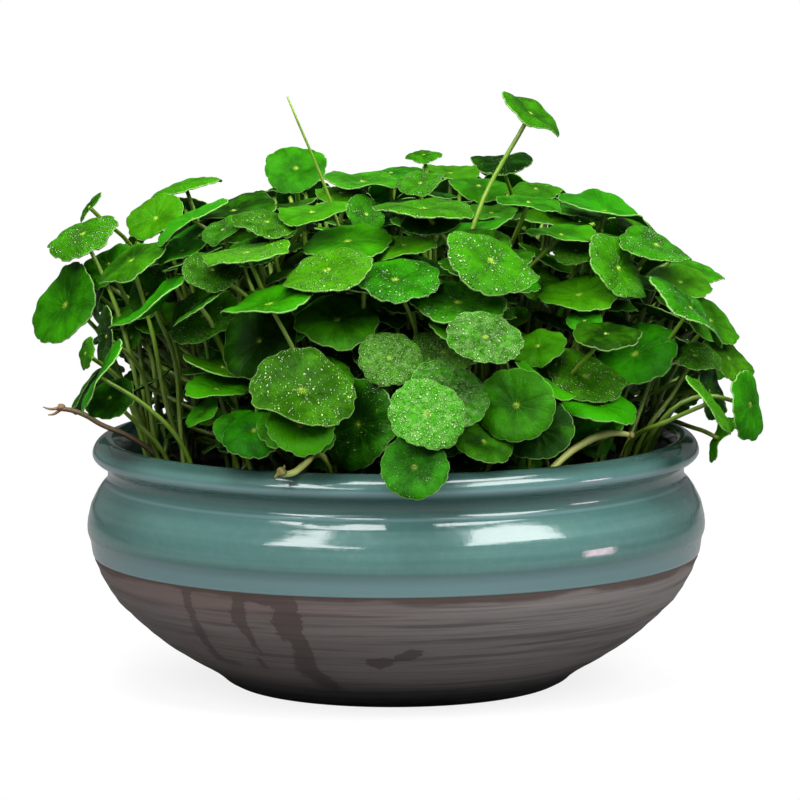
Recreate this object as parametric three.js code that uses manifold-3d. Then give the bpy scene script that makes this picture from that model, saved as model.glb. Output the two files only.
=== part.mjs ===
// Water pennywort in its bowl: a low cushion of round, stalked leaves on creeping runners,
// in a wide stoneware bowl that is glazed above and bare clay below.
// Millimetres, Z up, the front toward -Y, the origin in the middle of the bowl's flat base.
import * as THREE from 'three';
import { mergeVertices } from 'three/addons/utils/BufferGeometryUtils.js';
import Module from 'manifold-3d';

const wasm = await Module();
wasm.setup();

// Driving dimensions of the bowl and the soil in it
const BOWL = { width: 247.6, height: 99.5, foot: 128, glazeLine: 50.5, wall: 7, floor: 9, sides: 28 };
const SOIL = { level: 84, gap: 0.35 };
// The ring within the rim, and the clearance over and outside it, that stalks keep free
const RIM = { inward: 17, outward: 1.5, above: 2.5 };

// Driving dimensions of the plant. lowPoint is how far off the hub the underside is deepest, as a
// share of the radius. sunk is how deep a stalk's end lies in the blade, as a share of its
// thickness, and upright is the least share of that end that runs along the blade's normal.
const BLADE = { thickness: 1.1, sides: 9, lowPoint: 0.3 };
const STALK = { radius: 1.05, sides: 3, steps: 3, sunk: 0.3, upright: 0.6 };
const RUNNER = { radius: 1.5, sides: 4, overhang: 3, spacing: 7.5, longest: 46, most: 3 };
// How many points stand for a loose runner when stalks are kept clear of it
const CREEPER_POINTS = 40;

// Least distances between the centre lines and faces of neighbours
const GAP = {
  touching: 0.35,
  blades: 2,
  backBlades: 3.2,
  stalks: 2.6,
  stalkToBlade: 1.95,
  stalkToOwnBlade: 0.98,
  creeper: 3.1,
  sight: 2.2,
};

// The cushion of leaves, as half of an ellipsoid that stands on the soil
const CUSHION = { level: 100, across: 150, deep: 128, tall: 108 };

// Rings in the soil that the runners creep along, from the wall inward. The farther out a leaf
// hangs, the nearer to the wall it is rooted.
const RINGS = [
  { radius: 98, leaves: 34 },
  { radius: 83, leaves: 30 },
  { radius: 68, leaves: 25 },
  { radius: 53, leaves: 20 },
  { radius: 38, leaves: 14 },
  { radius: 22, leaves: 8 },
];

// The front view that the leaves were measured in: 800 pixels square, 0.4 mm to the pixel at the
// bowl's axis, seen from a little above, and turned by a third of a degree
const VIEW = {
  eye: new THREE.Vector3(1.8, -2265, 405),
  target: new THREE.Vector3(1.8, 0, 113),
  centre: 400,
  pixel: 0.4,
  turn: 0.0058,
};

const UP = new THREE.Vector3(0, 0, 1);
const FORWARD = VIEW.target.clone().sub(VIEW.eye).normalize();
const RIGHT = new THREE.Vector3(1, 0, 0);
const PICTURE_UP = RIGHT.clone().cross(FORWARD);
const TARGET_DISTANCE = VIEW.eye.distanceTo(VIEW.target);

// The most millimetres that a leaf is moved back behind the leaves that cover it
const MOST_STEPS = 60;

// Finishes
const GREENS = [0x2f7d12, 0x3b8f18, 0x2a6e10, 0x469c22, 0x337f16];
const GLAZE = new THREE.MeshStandardMaterial({ color: 0x5b8785, roughness: 0.25, metalness: 0 });
const EARTH = new THREE.MeshStandardMaterial({ color: 0x1d1712, roughness: 0.95, metalness: 0 });
const PALE_STEM = new THREE.MeshStandardMaterial({ color: 0xb9bf74, roughness: 0.5, metalness: 0 });

// Leaves as the front shows them, nearest first. Each has the middle of its outline, its long and
// short half axes and the slope of the long one in degrees, all in pixels of the view above.
// depth sets the distance behind the bowl's axis where the cushion doesn't, and foot is the pixel
// column that the stalk rises from.
const FRONT_LEAVES = [
  // The middle, down to the rim
  { at: [427, 414], axes: [38, 33], slope: -25 },
  { at: [414, 466], axes: [33, 31], slope: 5, depth: -132 },
  { at: [450, 392], axes: [40, 28], slope: -30 },
  { at: [390, 357], axes: [31, 27], slope: -10 },
  { at: [486, 337], axes: [37, 25], slope: -12 },
  { at: [446, 348], axes: [34, 21], slope: -12 },
  { at: [517, 404], axes: [38, 36], slope: 10 },
  { at: [485, 441], axes: [29, 19], slope: -20 },
  { at: [540, 428], axes: [34, 31], slope: 5 },
  { at: [545, 381], axes: [34, 6], slope: -33, depth: -80 },
  { at: [466, 463], axes: [16, 13], slope: 0, depth: -88 },
  { at: [519, 470], axes: [16, 5], slope: 0, depth: -84 },
  { at: [303, 388], axes: [51, 38], slope: -12 },
  { at: [300, 425], axes: [33, 27], slope: -10 },
  { at: [354, 424], axes: [45, 35], slope: 80 },
  { at: [337, 318], axes: [41, 26], slope: 0 },
  { at: [330, 360], axes: [33, 16], slope: -12 },
  { at: [328, 270], axes: [45, 19], slope: 14 },
  { at: [268, 297], axes: [48, 11], slope: 14 },
  { at: [256, 338], axes: [42, 33], slope: 50 },
  { at: [220, 362], axes: [40, 8], slope: -8 },
  { at: [214, 385], axes: [32, 12], slope: 3 },
  { at: [246, 384], axes: [17, 7], slope: 30 },
  { at: [198, 411], axes: [20, 9], slope: 42 },
  { at: [396, 274], axes: [43, 21], slope: -4 },
  { at: [492, 261], axes: [48, 26], slope: -32 },
  { at: [459, 297], axes: [48, 21], slope: -3 },
  { at: [541, 345], axes: [29, 17], slope: 14 },
  { at: [380, 306], axes: [30, 14], slope: -28 },
  { at: [348, 240], axes: [44, 17], slope: 6 },
  { at: [405, 243], axes: [32, 11], slope: 8 },
  // The right
  { at: [591, 374], axes: [39, 24], slope: -20 },
  { at: [607, 333], axes: [34, 13], slope: 0, depth: -66 },
  { at: [640, 352], axes: [44, 27], slope: 28 },
  { at: [604, 403], axes: [38, 17], slope: -14, foot: 560 },
  { at: [657, 246], axes: [38, 14], slope: -18 },
  { at: [624, 265], axes: [40, 19], slope: -52 },
  { at: [583, 287], axes: [40, 18], slope: 8 },
  { at: [691, 308], axes: [50, 8], slope: -43 },
  { at: [699, 355], axes: [26, 13], slope: -8 },
  { at: [684, 278], axes: [33, 16], slope: -12 },
  { at: [697, 269], axes: [30, 9], slope: -12 },
  { at: [715, 318], axes: [34, 17], slope: -42 },
  { at: [749, 405], axes: [35, 16], slope: -84 },
  { at: [733, 357], axes: [30, 15], slope: -42 },
  { at: [711, 401], axes: [36, 6], slope: -52, foot: 622 },
  { at: [716, 391], axes: [29, 12], slope: -84, foot: 640 },
  { at: [723, 439], axes: [26, 5], slope: 62, foot: 655 },
  { at: [589, 318], axes: [18, 12], slope: 0 },
  { at: [608, 205], axes: [49, 10], slope: -17 },
  { at: [565, 228], axes: [36, 8], slope: -4 },
  { at: [580, 247], axes: [23, 14], slope: 0 },
  { at: [650, 233], axes: [36, 12], slope: -33 },
  { at: [530, 201], axes: [33, 7], slope: -8 },
  { at: [537, 190], axes: [28, 9], slope: 3, depth: 36 },
  { at: [556, 213], axes: [42, 7], slope: -8 },
  { at: [482, 180], axes: [32, 12], slope: -8 },
  // The top
  { at: [473, 225], axes: [45, 6], slope: 20 },
  { at: [534, 111], axes: [36, 11], slope: -36, depth: -12, foot: 462 },
  { at: [503, 160], axes: [32, 10], slope: 0 },
  { at: [424, 206], axes: [49, 9], slope: -2 },
  { at: [367, 211], axes: [21, 16], slope: -50 },
  { at: [421, 180], axes: [24, 12], slope: 12 },
  { at: [453, 164], axes: [30, 8], slope: -2 },
  { at: [425, 155], axes: [19, 6], slope: 3, depth: 48 },
  { at: [364, 177], axes: [39, 9], slope: -4 },
  { at: [392, 171], axes: [34, 7], slope: 8 },
  { at: [495, 204], axes: [26, 8], slope: 0 },
  { at: [297, 167], axes: [32, 24], slope: 12 },
  { at: [342, 190], axes: [26, 8], slope: 0 },
  { at: [313, 210], axes: [34, 10], slope: 8 },
  // The left
  { at: [247, 251], axes: [43, 9], slope: 9 },
  { at: [192, 218], axes: [41, 7], slope: 31 },
  { at: [212, 270], axes: [29, 18], slope: -5 },
  { at: [146, 298], axes: [46, 5], slope: 36, cup: 0.3 },
  { at: [200, 314], axes: [37, 25], slope: 30 },
  { at: [131, 260], axes: [40, 13], slope: 30 },
  { at: [62, 303], axes: [45, 27], slope: 62 },
  { at: [155, 215], axes: [31, 20], slope: 28 },
  { at: [184, 183], axes: [37, 4.5], slope: 15 },
  { at: [84, 235], axes: [38, 17], slope: 24 },
  { at: [87, 205], axes: [19, 4], slope: 55 },
  { at: [268, 221], axes: [34, 13], slope: -6 },
  { at: [223, 228], axes: [23, 11], slope: 28 },
  { at: [232, 204], axes: [44, 11], slope: 8 },
  { at: [180, 247], axes: [27, 10], slope: 20 },
  { at: [107, 262], axes: [28, 17], slope: 35 },
  { at: [92, 292], axes: [30, 7], slope: 85 },
  { at: [142, 291], axes: [28, 19], slope: 72 },
  { at: [98, 376], axes: [41, 4], slope: 61, foot: 205 },
  { at: [107, 398], axes: [26, 19], slope: 30 },
  { at: [86, 353], axes: [17, 7], slope: 78 },
  { at: [100, 335], axes: [30, 9], slope: 86 },
  // Leaves in the shade between the others
  { at: [597, 428], axes: [28, 12], slope: 20, depth: -45 },
  { at: [537, 279], axes: [28, 17], slope: -30, depth: -12 },
];

// Leaves behind, out of the front view's sight, in rows around the back of the cushion. Each row
// has its height on the cushion in degrees, the count and the first and last bearing from +X.
const BACK_ROWS = [
  { rise: 8, count: 7, from: 24, to: 156 },
  { rise: 28, count: 7, from: 14, to: 166 },
  { rise: 47, count: 6, from: 30, to: 158 },
  { rise: 66, count: 3, from: 40, to: 140 },
];
const BACK_RADIUS = { least: 13, most: 17.5 };
// How much of the cushion's reach the leaves behind have, and how far each may be moved inward
const BACK_REACH = 0.9;
const BACK_STEPS = { length: 3, most: 8 };

// Stalks that carry no blade
const BARE_STALKS = [{ at: [289, 96], slope: 105, depth: -52, foot: 338 }];

// Loose runners, from the cut end down to the soil
const CREEPERS = [
  {
    name: 'loose_runner_front',
    route: [
      { at: [281, 473], depth: -118 },
      { at: [300, 466], depth: -110 },
      { at: [315, 454], depth: -101 },
      { at: [324, 458], depth: -91 },
      { at: [329, 472], depth: -80 },
      { at: [331, 487], depth: -75 },
    ],
  },
  {
    name: 'loose_runner_right',
    route: [
      { at: [632, 435], depth: -60 },
      { at: [602, 436], depth: -65 },
      { at: [579, 446], depth: -69 },
      { at: [562, 459], depth: -72 },
      { at: [548, 474], depth: -75 },
      { at: [541, 490], depth: -76 },
    ],
  },
  {
    name: 'loose_runner_left',
    route: [
      { at: [44, 408], depth: -6 },
      { at: [70, 411], depth: -8 },
      { at: [100, 419], depth: -9 },
      { at: [128, 432], depth: -10 },
      { at: [152, 450], depth: -11 },
      { at: [169, 471], depth: -12 },
    ],
  },
];

// A repeatable spread of values from 0 to 1, for the small differences between leaves
function spread(index, salt) {
  const value = Math.sin(index * 12.9898 + salt * 78.233) * 43758.5453;
  return value - Math.floor(value);
}

function radians(degrees) {
  return THREE.MathUtils.degToRad(degrees);
}

// The line of sight through one pixel
function sightLine([across, down]) {
  const level = down + (across - VIEW.centre) * VIEW.turn;
  const sideways = (across - VIEW.centre) * VIEW.pixel;
  const upward = (VIEW.centre - level) * VIEW.pixel;
  const direction = FORWARD.clone().multiplyScalar(TARGET_DISTANCE);
  direction.addScaledVector(RIGHT, sideways).addScaledVector(PICTURE_UP, upward);
  return new THREE.Ray(VIEW.eye, direction.normalize());
}

// The direction that has a slope in the picture, in degrees
function inPicture(slope) {
  const sideways = RIGHT.clone().multiplyScalar(Math.cos(radians(slope)));
  return sideways.addScaledVector(PICTURE_UP, Math.sin(radians(slope)));
}

// A point of the front view at a distance behind the bowl's axis
function atDepth(at, depth) {
  const ray = sightLine(at);
  return ray.at((depth - ray.origin.y) / ray.direction.y, new THREE.Vector3());
}

// Where a line of sight first meets the cushion, or comes nearest to it
function onCushion(ray) {
  const half = new THREE.Vector3(CUSHION.across, CUSHION.deep, CUSHION.tall);
  const start = ray.origin.clone().setZ(ray.origin.z - CUSHION.level).divide(half);
  const run = ray.direction.clone().divide(half);
  const a = run.dot(run);
  const b = start.dot(run);
  const c = start.dot(start) - 1;
  const inside = b * b - a * c;
  const distance = (-b - Math.sqrt(Math.max(inside, 0))) / a;
  return ray.at(distance, new THREE.Vector3());
}

// A blade's placing: its middle, its frame, its radius, and how it is cupped and waved
function bladeFrame(middle, normal, long, radius, index, cup) {
  const frame = { middle, normal, radius };
  frame.long = long.clone().addScaledVector(normal, -long.dot(normal)).normalize();
  frame.cross = normal.clone().cross(frame.long);
  frame.cup = cup ?? -0.06 + 0.2 * spread(index, 1);
  frame.wave = 0.03 + 0.05 * spread(index, 2);
  frame.turn = Math.PI * spread(index, 3);
  return frame;
}

// How far the blade stands off its plane, at a share of its radius and an angle
function bladeHeight(frame, share, angle) {
  const cup = frame.cup * (share * share - 1);
  const wave = frame.wave * share * share * Math.cos(2 * (angle - frame.turn));
  return frame.radius * (cup + wave);
}

function bladePoint(frame, share, angle) {
  const out = share * frame.radius;
  return frame.middle.clone()
    .addScaledVector(frame.long, out * Math.cos(angle))
    .addScaledVector(frame.cross, out * Math.sin(angle))
    .addScaledVector(frame.normal, bladeHeight(frame, share, angle));
}

// Points spread over a blade, to measure its distance from other pieces
function bladeSamples(frame) {
  const points = [bladePoint(frame, 0, 0)];
  for (const share of [0.35, 0.6, 0.8, 1]) {
    for (let step = 0; step < 18; step += 1) {
      points.push(bladePoint(frame, share, (step * Math.PI) / 9));
    }
  }
  return points;
}

// A point in a blade's own terms: its share of the radius, and its height off the curved surface
function inBlade(frame, point) {
  const offset = point.clone().sub(frame.middle);
  const x = offset.dot(frame.long);
  const y = offset.dot(frame.cross);
  const share = Math.hypot(x, y) / frame.radius;
  const height = offset.dot(frame.normal) - bladeHeight(frame, Math.min(share, 1), Math.atan2(y, x));
  return { share, height };
}

function distanceToBlade(frame, point) {
  const { share, height } = inBlade(frame, point);
  const beyond = Math.max(share - 1, 0) * frame.radius;
  return Math.hypot(beyond, height);
}

// How far along the sight line a blade's surface lies behind a point, or nothing beside the blade
function behindPoint(frame, point) {
  const edgeOn = 0.03;
  const margin = 1.2;
  const slant = FORWARD.dot(frame.normal);
  const offset = frame.middle.clone().sub(point);
  const beside = offset.lengthSq() - offset.dot(FORWARD) ** 2;
  if (Math.abs(slant) < edgeOn || beside > (margin * frame.radius) ** 2) {
    return undefined;
  }
  let distance = offset.dot(frame.normal) / slant;
  for (let round = 0; round < 2; round += 1) {
    const place = inBlade(frame, point.clone().addScaledVector(FORWARD, distance));
    if (place.share > 1 + edgeOn) {
      return undefined;
    }
    distance -= place.height / slant;
  }
  return distance;
}

// Whether two blades come closer than a gap
function meets(one, other, gap) {
  const close = (frame, points) => points.some((point) => distanceToBlade(frame, point) < gap);
  return close(one, bladeSamples(other)) || close(other, bladeSamples(one));
}

// Whether a blade meets one in front of it, or would hide it
function crowds(front, behind) {
  if (meets(front, behind, GAP.blades)) {
    return true;
  }
  const frontPoints = bladeSamples(front);
  const behindPoints = bladeSamples(behind);
  const ahead = (point) => {
    const distance = behindPoint(behind, point);
    return distance !== undefined && distance < GAP.sight;
  };
  const hidden = (point) => {
    const distance = behindPoint(front, point);
    return distance !== undefined && distance > -GAP.sight;
  };
  return frontPoints.some(ahead) || behindPoints.some(hidden);
}

// The bowl's outside from the foot up to the lip, and back down its inside to the floor
function bowlOutline() {
  const foot = BOWL.foot / 2;
  const belly = BOWL.width / 2;
  const inner = belly - BOWL.wall;
  const outside = [
    [0, 0],
    [foot, 0],
    [foot + 4.3, 1.8],
    [foot + 23, 13.9],
    [foot + 36, 23.4],
    [foot + 48, 35],
    [belly - 2.8, BOWL.glazeLine],
    [belly, 63.5],
    [belly - 2, 73],
    [belly - 8.2, 85.6],
    [belly - 2.4, 92.2],
    [belly - 3.6, 97],
    [belly - 7.3, BOWL.height],
  ];
  return [...outside, [inner - 5, 98], ...bowlInside(inner)];
}

function bowlInside(inner) {
  return [
    [inner - 8, 90],
    [inner - 8.4, SOIL.level],
    [inner - 1, 70],
    [inner - 0.6, 60],
    [inner - 12, 35],
    [BOWL.foot / 2 - 2, BOWL.floor],
    [0, BOWL.floor],
  ];
}

// The soil fills the bowl, a hair clear of its inside
function soilOutline() {
  const [, surface, ...walls] = bowlInside(BOWL.width / 2 - BOWL.wall);
  const clear = SOIL.gap / Math.cos(Math.PI / BOWL.sides) ** 2;
  const [floorEdge, floorMiddle] = walls.splice(-2);
  return [
    [0, floorMiddle[1] + SOIL.gap],
    [floorEdge[0] - clear, floorEdge[1] + SOIL.gap],
    ...walls.reverse().map(([radius, height]) => [radius - 1.5 * clear, height]),
    [surface[0] - clear, surface[1]],
    [0, surface[1]],
  ];
}

// A closed three.js geometry as a solid that can be joined
function solid(geometry) {
  const plain = geometry.index ? geometry.clone() : geometry;
  plain.deleteAttribute('normal');
  plain.deleteAttribute('uv');
  const merged = mergeVertices(plain, 1e-4);
  const corners = merged.index.array;
  const faces = [];
  for (let first = 0; first < corners.length; first += 3) {
    const [a, b, c] = corners.slice(first, first + 3);
    if (a !== b && b !== c && c !== a) {
      faces.push(a, b, c);
    }
  }
  const vertProperties = new Float32Array(merged.attributes.position.array);
  const triVerts = new Uint32Array(faces);
  return new wasm.Manifold(new wasm.Mesh({ numProp: 3, vertProperties, triVerts }));
}

function toGeometry(body) {
  const mesh = body.getMesh();
  const geometry = new THREE.BufferGeometry();
  geometry.setAttribute('position', new THREE.BufferAttribute(mesh.vertProperties, 3));
  geometry.setIndex(new THREE.BufferAttribute(mesh.triVerts, 1));
  return geometry;
}

function turned(outline, sides) {
  const points = outline.map(([radius, height]) => new THREE.Vector2(radius, height));
  const geometry = new THREE.LatheGeometry(points, sides);
  geometry.rotateX(Math.PI / 2);
  return solid(geometry);
}

// A stalk or runner: a round section, with few sides, drawn along a curve. Half a turn of one
// side lays a level runner's section flat.
function tube(curve, { radius, sides }, steps) {
  const section = new THREE.Shape();
  for (let side = 0; side < sides; side += 1) {
    const angle = (2 * Math.PI * (side + 0.5)) / sides;
    const corner = [radius * Math.cos(angle), radius * Math.sin(angle)];
    if (side === 0) {
      section.moveTo(...corner);
    } else {
      section.lineTo(...corner);
    }
  }
  return solid(new THREE.ExtrudeGeometry(section, { steps, extrudePath: curve, bevelEnabled: false }));
}

// A blade: a thin round sheet, thickest at the hub, that takes the frame's cup and wave. The low
// point of its underside lies a little off the hub, so that the stalk meets one flat facet.
function blade(frame) {
  const geometry = new THREE.SphereGeometry(1, BLADE.sides, 2);
  geometry.rotateX(Math.PI / 2);
  const half = BLADE.thickness / 2;
  const offHub = BLADE.lowPoint;
  const facetShare = offHub / (1 + offHub);
  const lowHeight = -(half + facetShare * Math.max(frame.cup, 0) * frame.radius) / (1 - facetShare);
  const lowAngle = Math.PI + Math.PI / BLADE.sides;
  const places = geometry.attributes.position;
  for (let index = 0; index < places.count; index += 1) {
    const unit = new THREE.Vector3().fromBufferAttribute(places, index);
    const onRim = Math.hypot(unit.x, unit.y) > 0.5;
    const spot = bladePoint(frame, onRim ? 1 : 0, Math.atan2(unit.y, unit.x));
    if (!onRim && unit.z > 0) {
      spot.addScaledVector(frame.normal, half);
    } else if (!onRim) {
      spot.addScaledVector(frame.long, offHub * frame.radius * Math.cos(lowAngle));
      spot.addScaledVector(frame.cross, offHub * frame.radius * Math.sin(lowAngle));
      spot.addScaledVector(frame.normal, lowHeight);
    }
    places.setXYZ(index, spot.x, spot.y, spot.z);
  }
  return solid(geometry);
}

// Lay the leaves that the front shows on the cushion, each behind those that cover it
function layFrontLeaves() {
  const laid = [];
  FRONT_LEAVES.forEach((row, index) => {
    const middle = row.depth === undefined ? onCushion(sightLine(row.at)) : atDepth(row.at, row.depth);
    const [longHalf, shortHalf] = row.axes;
    const facing = shortHalf / longHalf;
    const long = inPicture(row.slope);
    const normal = inPicture(row.slope + 90).multiplyScalar(Math.sqrt(1 - facing * facing));
    normal.addScaledVector(FORWARD, -facing);
    const frame = bladeFrame(middle, normal, long, longHalf * VIEW.pixel, index, row.cup);
    frame.foot = row.foot;
    for (let round = 0; round < MOST_STEPS && laid.some((front) => crowds(front, frame)); round += 1) {
      frame.middle.add(FORWARD);
    }
    laid.push(frame);
  });
  return laid;
}

// A stalk without a blade is placed like a leaf of no width that faces along the stalk
function layBareStalks(first) {
  return BARE_STALKS.map((row, place) => {
    const end = atDepth(row.at, row.depth);
    const frame = bladeFrame(end, inPicture(row.slope), FORWARD, 0, first + place);
    return { ...frame, foot: row.foot, bare: true };
  });
}

// A leaf behind, at its place in a row
function backLeaf(row, place, index) {
  const share = place / (row.count - 1);
  const scatter = 8;
  const bearing = radians(row.from + share * (row.to - row.from) + scatter * (spread(index, 4) - 0.5));
  const rise = radians(row.rise + scatter * (spread(index, 5) - 0.5));
  const out = new THREE.Vector3(Math.cos(rise), 0, Math.sin(rise)).applyAxisAngle(UP, bearing);
  const radius = THREE.MathUtils.lerp(BACK_RADIUS.least, BACK_RADIUS.most, spread(index, 6));
  const normal = out.clone().multiplyScalar(0.75);
  normal.addScaledVector(UP, 0.5 + 0.4 * spread(index, 7)).normalize();
  const size = new THREE.Vector3(CUSHION.across, CUSHION.deep, CUSHION.tall);
  const middle = out.clone().multiply(size.multiplyScalar(BACK_REACH));
  middle.z += CUSHION.level;
  return { out, frame: bladeFrame(middle, normal, UP.clone().cross(out), radius, index) };
}

// Spread the leaves behind over the back of the cushion, leaving out any that finds no room
function layBackLeaves(laid) {
  const found = [];
  const clear = (frame) => [...laid, ...found].every((other) => {
    const reach = other.radius + frame.radius + GAP.blades;
    return other.middle.distanceTo(frame.middle) >= reach || !meets(other, frame, GAP.backBlades);
  });
  BACK_ROWS.forEach((row) => {
    for (let place = 0; place < row.count; place += 1) {
      const { out, frame } = backLeaf(row, place, laid.length + found.length);
      for (let round = 0; round < BACK_STEPS.most && !clear(frame); round += 1) {
        frame.middle.addScaledVector(out, -BACK_STEPS.length);
      }
      if (clear(frame)) {
        found.push(frame);
      }
    }
  });
  return found;
}

// The bearing of a leaf's root: the leaf's own, or the one under its foot at the front
function rootBearing(leaf, ring) {
  if (leaf.foot === undefined) {
    return Math.atan2(leaf.middle.y, leaf.middle.x);
  }
  const across = atDepth([leaf.foot, VIEW.centre], 0).x / ring.radius;
  return -Math.acos(THREE.MathUtils.clamp(across, -1, 1));
}

// Move neighbours on a ring apart, a little at a time, until each has room
function spaceRoots({ radius, roots }) {
  const rounds = 400;
  const least = RUNNER.spacing / radius;
  roots.sort((one, other) => one.bearing - other.bearing);
  for (let round = 0; round < rounds; round += 1) {
    roots.forEach((root, place) => {
      const next = roots[(place + 1) % roots.length];
      const turn = place + 1 === roots.length ? 2 * Math.PI : 0;
      const short = least - (next.bearing + turn - root.bearing);
      if (short > 0) {
        root.bearing -= short / 2;
        next.bearing += short / 2;
      }
    });
  }
}

// Give each leaf a place on a ring in the soil, below it, with room between neighbours
function rootLeaves(leaves) {
  const rings = RINGS.map((ring) => ({ ...ring, roots: [] }));
  const reach = (leaf) => Math.hypot(leaf.middle.x, leaf.middle.y);
  const outermostFirst = [...leaves].sort((one, other) => reach(other) - reach(one));
  outermostFirst.forEach((leaf) => {
    const ring = rings.find((candidate) => candidate.roots.length < candidate.leaves) ?? rings.at(-1);
    ring.roots.push({ leaf, bearing: rootBearing(leaf, ring) });
  });
  rings.forEach(spaceRoots);
  return rings;
}

// Neighbours on a ring that share one runner
function groupRoots(ring) {
  const groups = [];
  ring.roots.forEach((root) => {
    const last = groups.at(-1);
    const apart = last ? (root.bearing - last[0].bearing) * ring.radius : Infinity;
    if (last && last.length < RUNNER.most && apart < RUNNER.longest) {
      last.push(root);
    } else {
      groups.push([root]);
    }
  });
  return groups;
}

function rootPoint(ring, bearing) {
  const height = SOIL.level + GAP.touching + RUNNER.radius;
  return new THREE.Vector3(ring.radius * Math.cos(bearing), ring.radius * Math.sin(bearing), height);
}

// How clear a stalk's points are of the bowl, the blades and the stalks that are already there
function stalkRoom(points, leaf, leaves, stalks) {
  let room = Infinity;
  points.forEach((point, place) => {
    const out = Math.hypot(point.x, point.y) - BOWL.width / 2;
    if (point.z < BOWL.height + RIM.above) {
      room = Math.min(room, Math.max(-RIM.inward - out, out - RIM.outward));
    }
    const nearEnd = points.length - place <= 2;
    leaves.forEach((other) => {
      if (other !== leaf && other.middle.distanceTo(point) < other.radius + 4) {
        room = Math.min(room, distanceToBlade(other, point) - GAP.stalkToBlade);
      } else if (other === leaf && !nearEnd) {
        room = Math.min(room, distanceToBlade(other, point) - GAP.stalkToOwnBlade);
      }
    });
    stalks.forEach(({ taken, gap }) => {
      taken.forEach((other) => {
        room = Math.min(room, other.distanceTo(point) - gap);
      });
    });
  });
  return room;
}

// How much of a stalk the front would show across the leaves that should hide it
function stalkShown(points, leaf, leaves) {
  const nearHub = 8;
  const hub = points.at(-1);
  const crosses = (point) => leaves.some((other) => {
    const distance = other === leaf ? undefined : behindPoint(other, point);
    return distance !== undefined && distance > 0;
  });
  return points.filter((point) => point.distanceTo(hub) > nearHub && crosses(point)).length;
}

// Points a few millimetres apart along the straight chords between corners
function alongChords(corners) {
  const apart = 2.8;
  const points = [corners[0]];
  corners.slice(1).forEach((corner, place) => {
    const from = corners[place];
    const steps = Math.ceil(from.distanceTo(corner) / apart);
    for (let step = 1; step <= steps; step += 1) {
      points.push(from.clone().lerp(corner, step / steps));
    }
  });
  return points;
}

// The ways that a stalk may bend: how far it sways aside, how steeply it leaves the runner, how
// it leans outward, and how far its top end turns upright
const BENDS = {
  slight: {
    sway: [0, 5, -5, 10, -10, 16, -16, 24, -24],
    start: [0.42, 0.25, 0.6],
    lean: [0.08, -0.08, 0.22],
    lift: [0, 0.4, 0.8],
  },
  strong: {
    sway: [-48, -36, -20, -8, 8, 20, 36, 48],
    start: [0.15, 0.4, 0.75],
    lean: [-0.25, 0, 0.2, 0.4],
    lift: [0, 0.4, 0.8],
  },
};

// The top of a stalk's curve: how far under the blade it starts to straighten, as a share of the
// stalk's span, and how much of the sway it keeps there
const STALK_TOP = { reach: 0.24, sway: 0.15 };

// What a way costs: each millimetre too close or too slanted, and each millimetre of sway
const ROUTE_COST = { blocked: 60, sway: 0.05 };

function stalkCurve(root, hub, leaf, { sway, start, lean, lift }) {
  const span = root.distanceTo(hub);
  const outward = hub.clone().sub(root).setZ(0).normalize();
  const sideways = UP.clone().cross(outward);
  const away = leaf.normal.clone().negate().addScaledVector(UP, lift).normalize();
  const low = root.clone().addScaledVector(UP, span * start).addScaledVector(sideways, sway);
  low.addScaledVector(outward, span * lean);
  const high = hub.clone().addScaledVector(away, span * STALK_TOP.reach);
  high.addScaledVector(sideways, sway * STALK_TOP.sway);
  return new THREE.CubicBezierCurve3(root, low, high, hub);
}

// Find a way for a leaf's stalk, from its root to its hub, that is clear of the rest and shows
// least in front of other leaves
function routeStalk(root, leaf, leaves, frontLeaves, stalks) {
  const hub = bladePoint(leaf, 0, 0).addScaledVector(leaf.normal, -BLADE.thickness * STALK.sunk);
  let best = { cost: Infinity, room: -Infinity };
  const tryBend = (bend) => {
    const curve = stalkCurve(root, hub, leaf, bend);
    const points = alongChords(curve.getSpacedPoints(STALK.steps));
    const room = stalkRoom(points, leaf, leaves, stalks);
    const upright = hub.clone().sub(points.at(-2)).normalize().dot(leaf.normal);
    const slanting = leaf.bare ? 0 : Math.max(STALK.upright - upright, 0);
    let cost = ROUTE_COST.blocked * (Math.max(-room, 0) + slanting);
    cost += ROUTE_COST.sway * Math.abs(bend.sway) + bend.lift;
    if (cost < best.cost && leaf.foot === undefined) {
      cost += stalkShown(points, leaf, frontLeaves);
    }
    if (cost < best.cost) {
      best = { cost, room, curve, points };
    }
  };
  for (const bends of [BENDS.slight, BENDS.strong]) {
    for (const sway of best.room < 0 ? bends.sway : []) {
      for (const start of bends.start) {
        for (const lean of bends.lean) {
          bends.lift.forEach((lift) => tryBend({ sway, start, lean, lift }));
        }
      }
    }
  }
  return best;
}

const pennywort = new THREE.Group();

function addNode(name, body, material, origin = new THREE.Vector3()) {
  const geometry = toGeometry(body.translate(-origin.x, -origin.y, -origin.z));
  const mesh = new THREE.Mesh(geometry, material);
  mesh.name = name;
  mesh.position.copy(origin);
  pennywort.add(mesh);
}

addNode('bowl', turned(bowlOutline(), BOWL.sides), GLAZE);
addNode('soil', turned(soilOutline(), BOWL.sides / 2), EARTH);

const frontLeaves = layFrontLeaves();
const allLeaves = [...frontLeaves, ...layBackLeaves(frontLeaves)];
const bareStalks = layBareStalks(allLeaves.length);
const stalks = [];

CREEPERS.forEach(({ name, route }) => {
  const curve = new THREE.CatmullRomCurve3(route.map(({ at, depth }) => atDepth(at, depth)));
  stalks.push({ taken: curve.getSpacedPoints(CREEPER_POINTS), gap: GAP.creeper });
  addNode(name, tube(curve, RUNNER, 2 * route.length), PALE_STEM, curve.getPoint(0));
});

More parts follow.
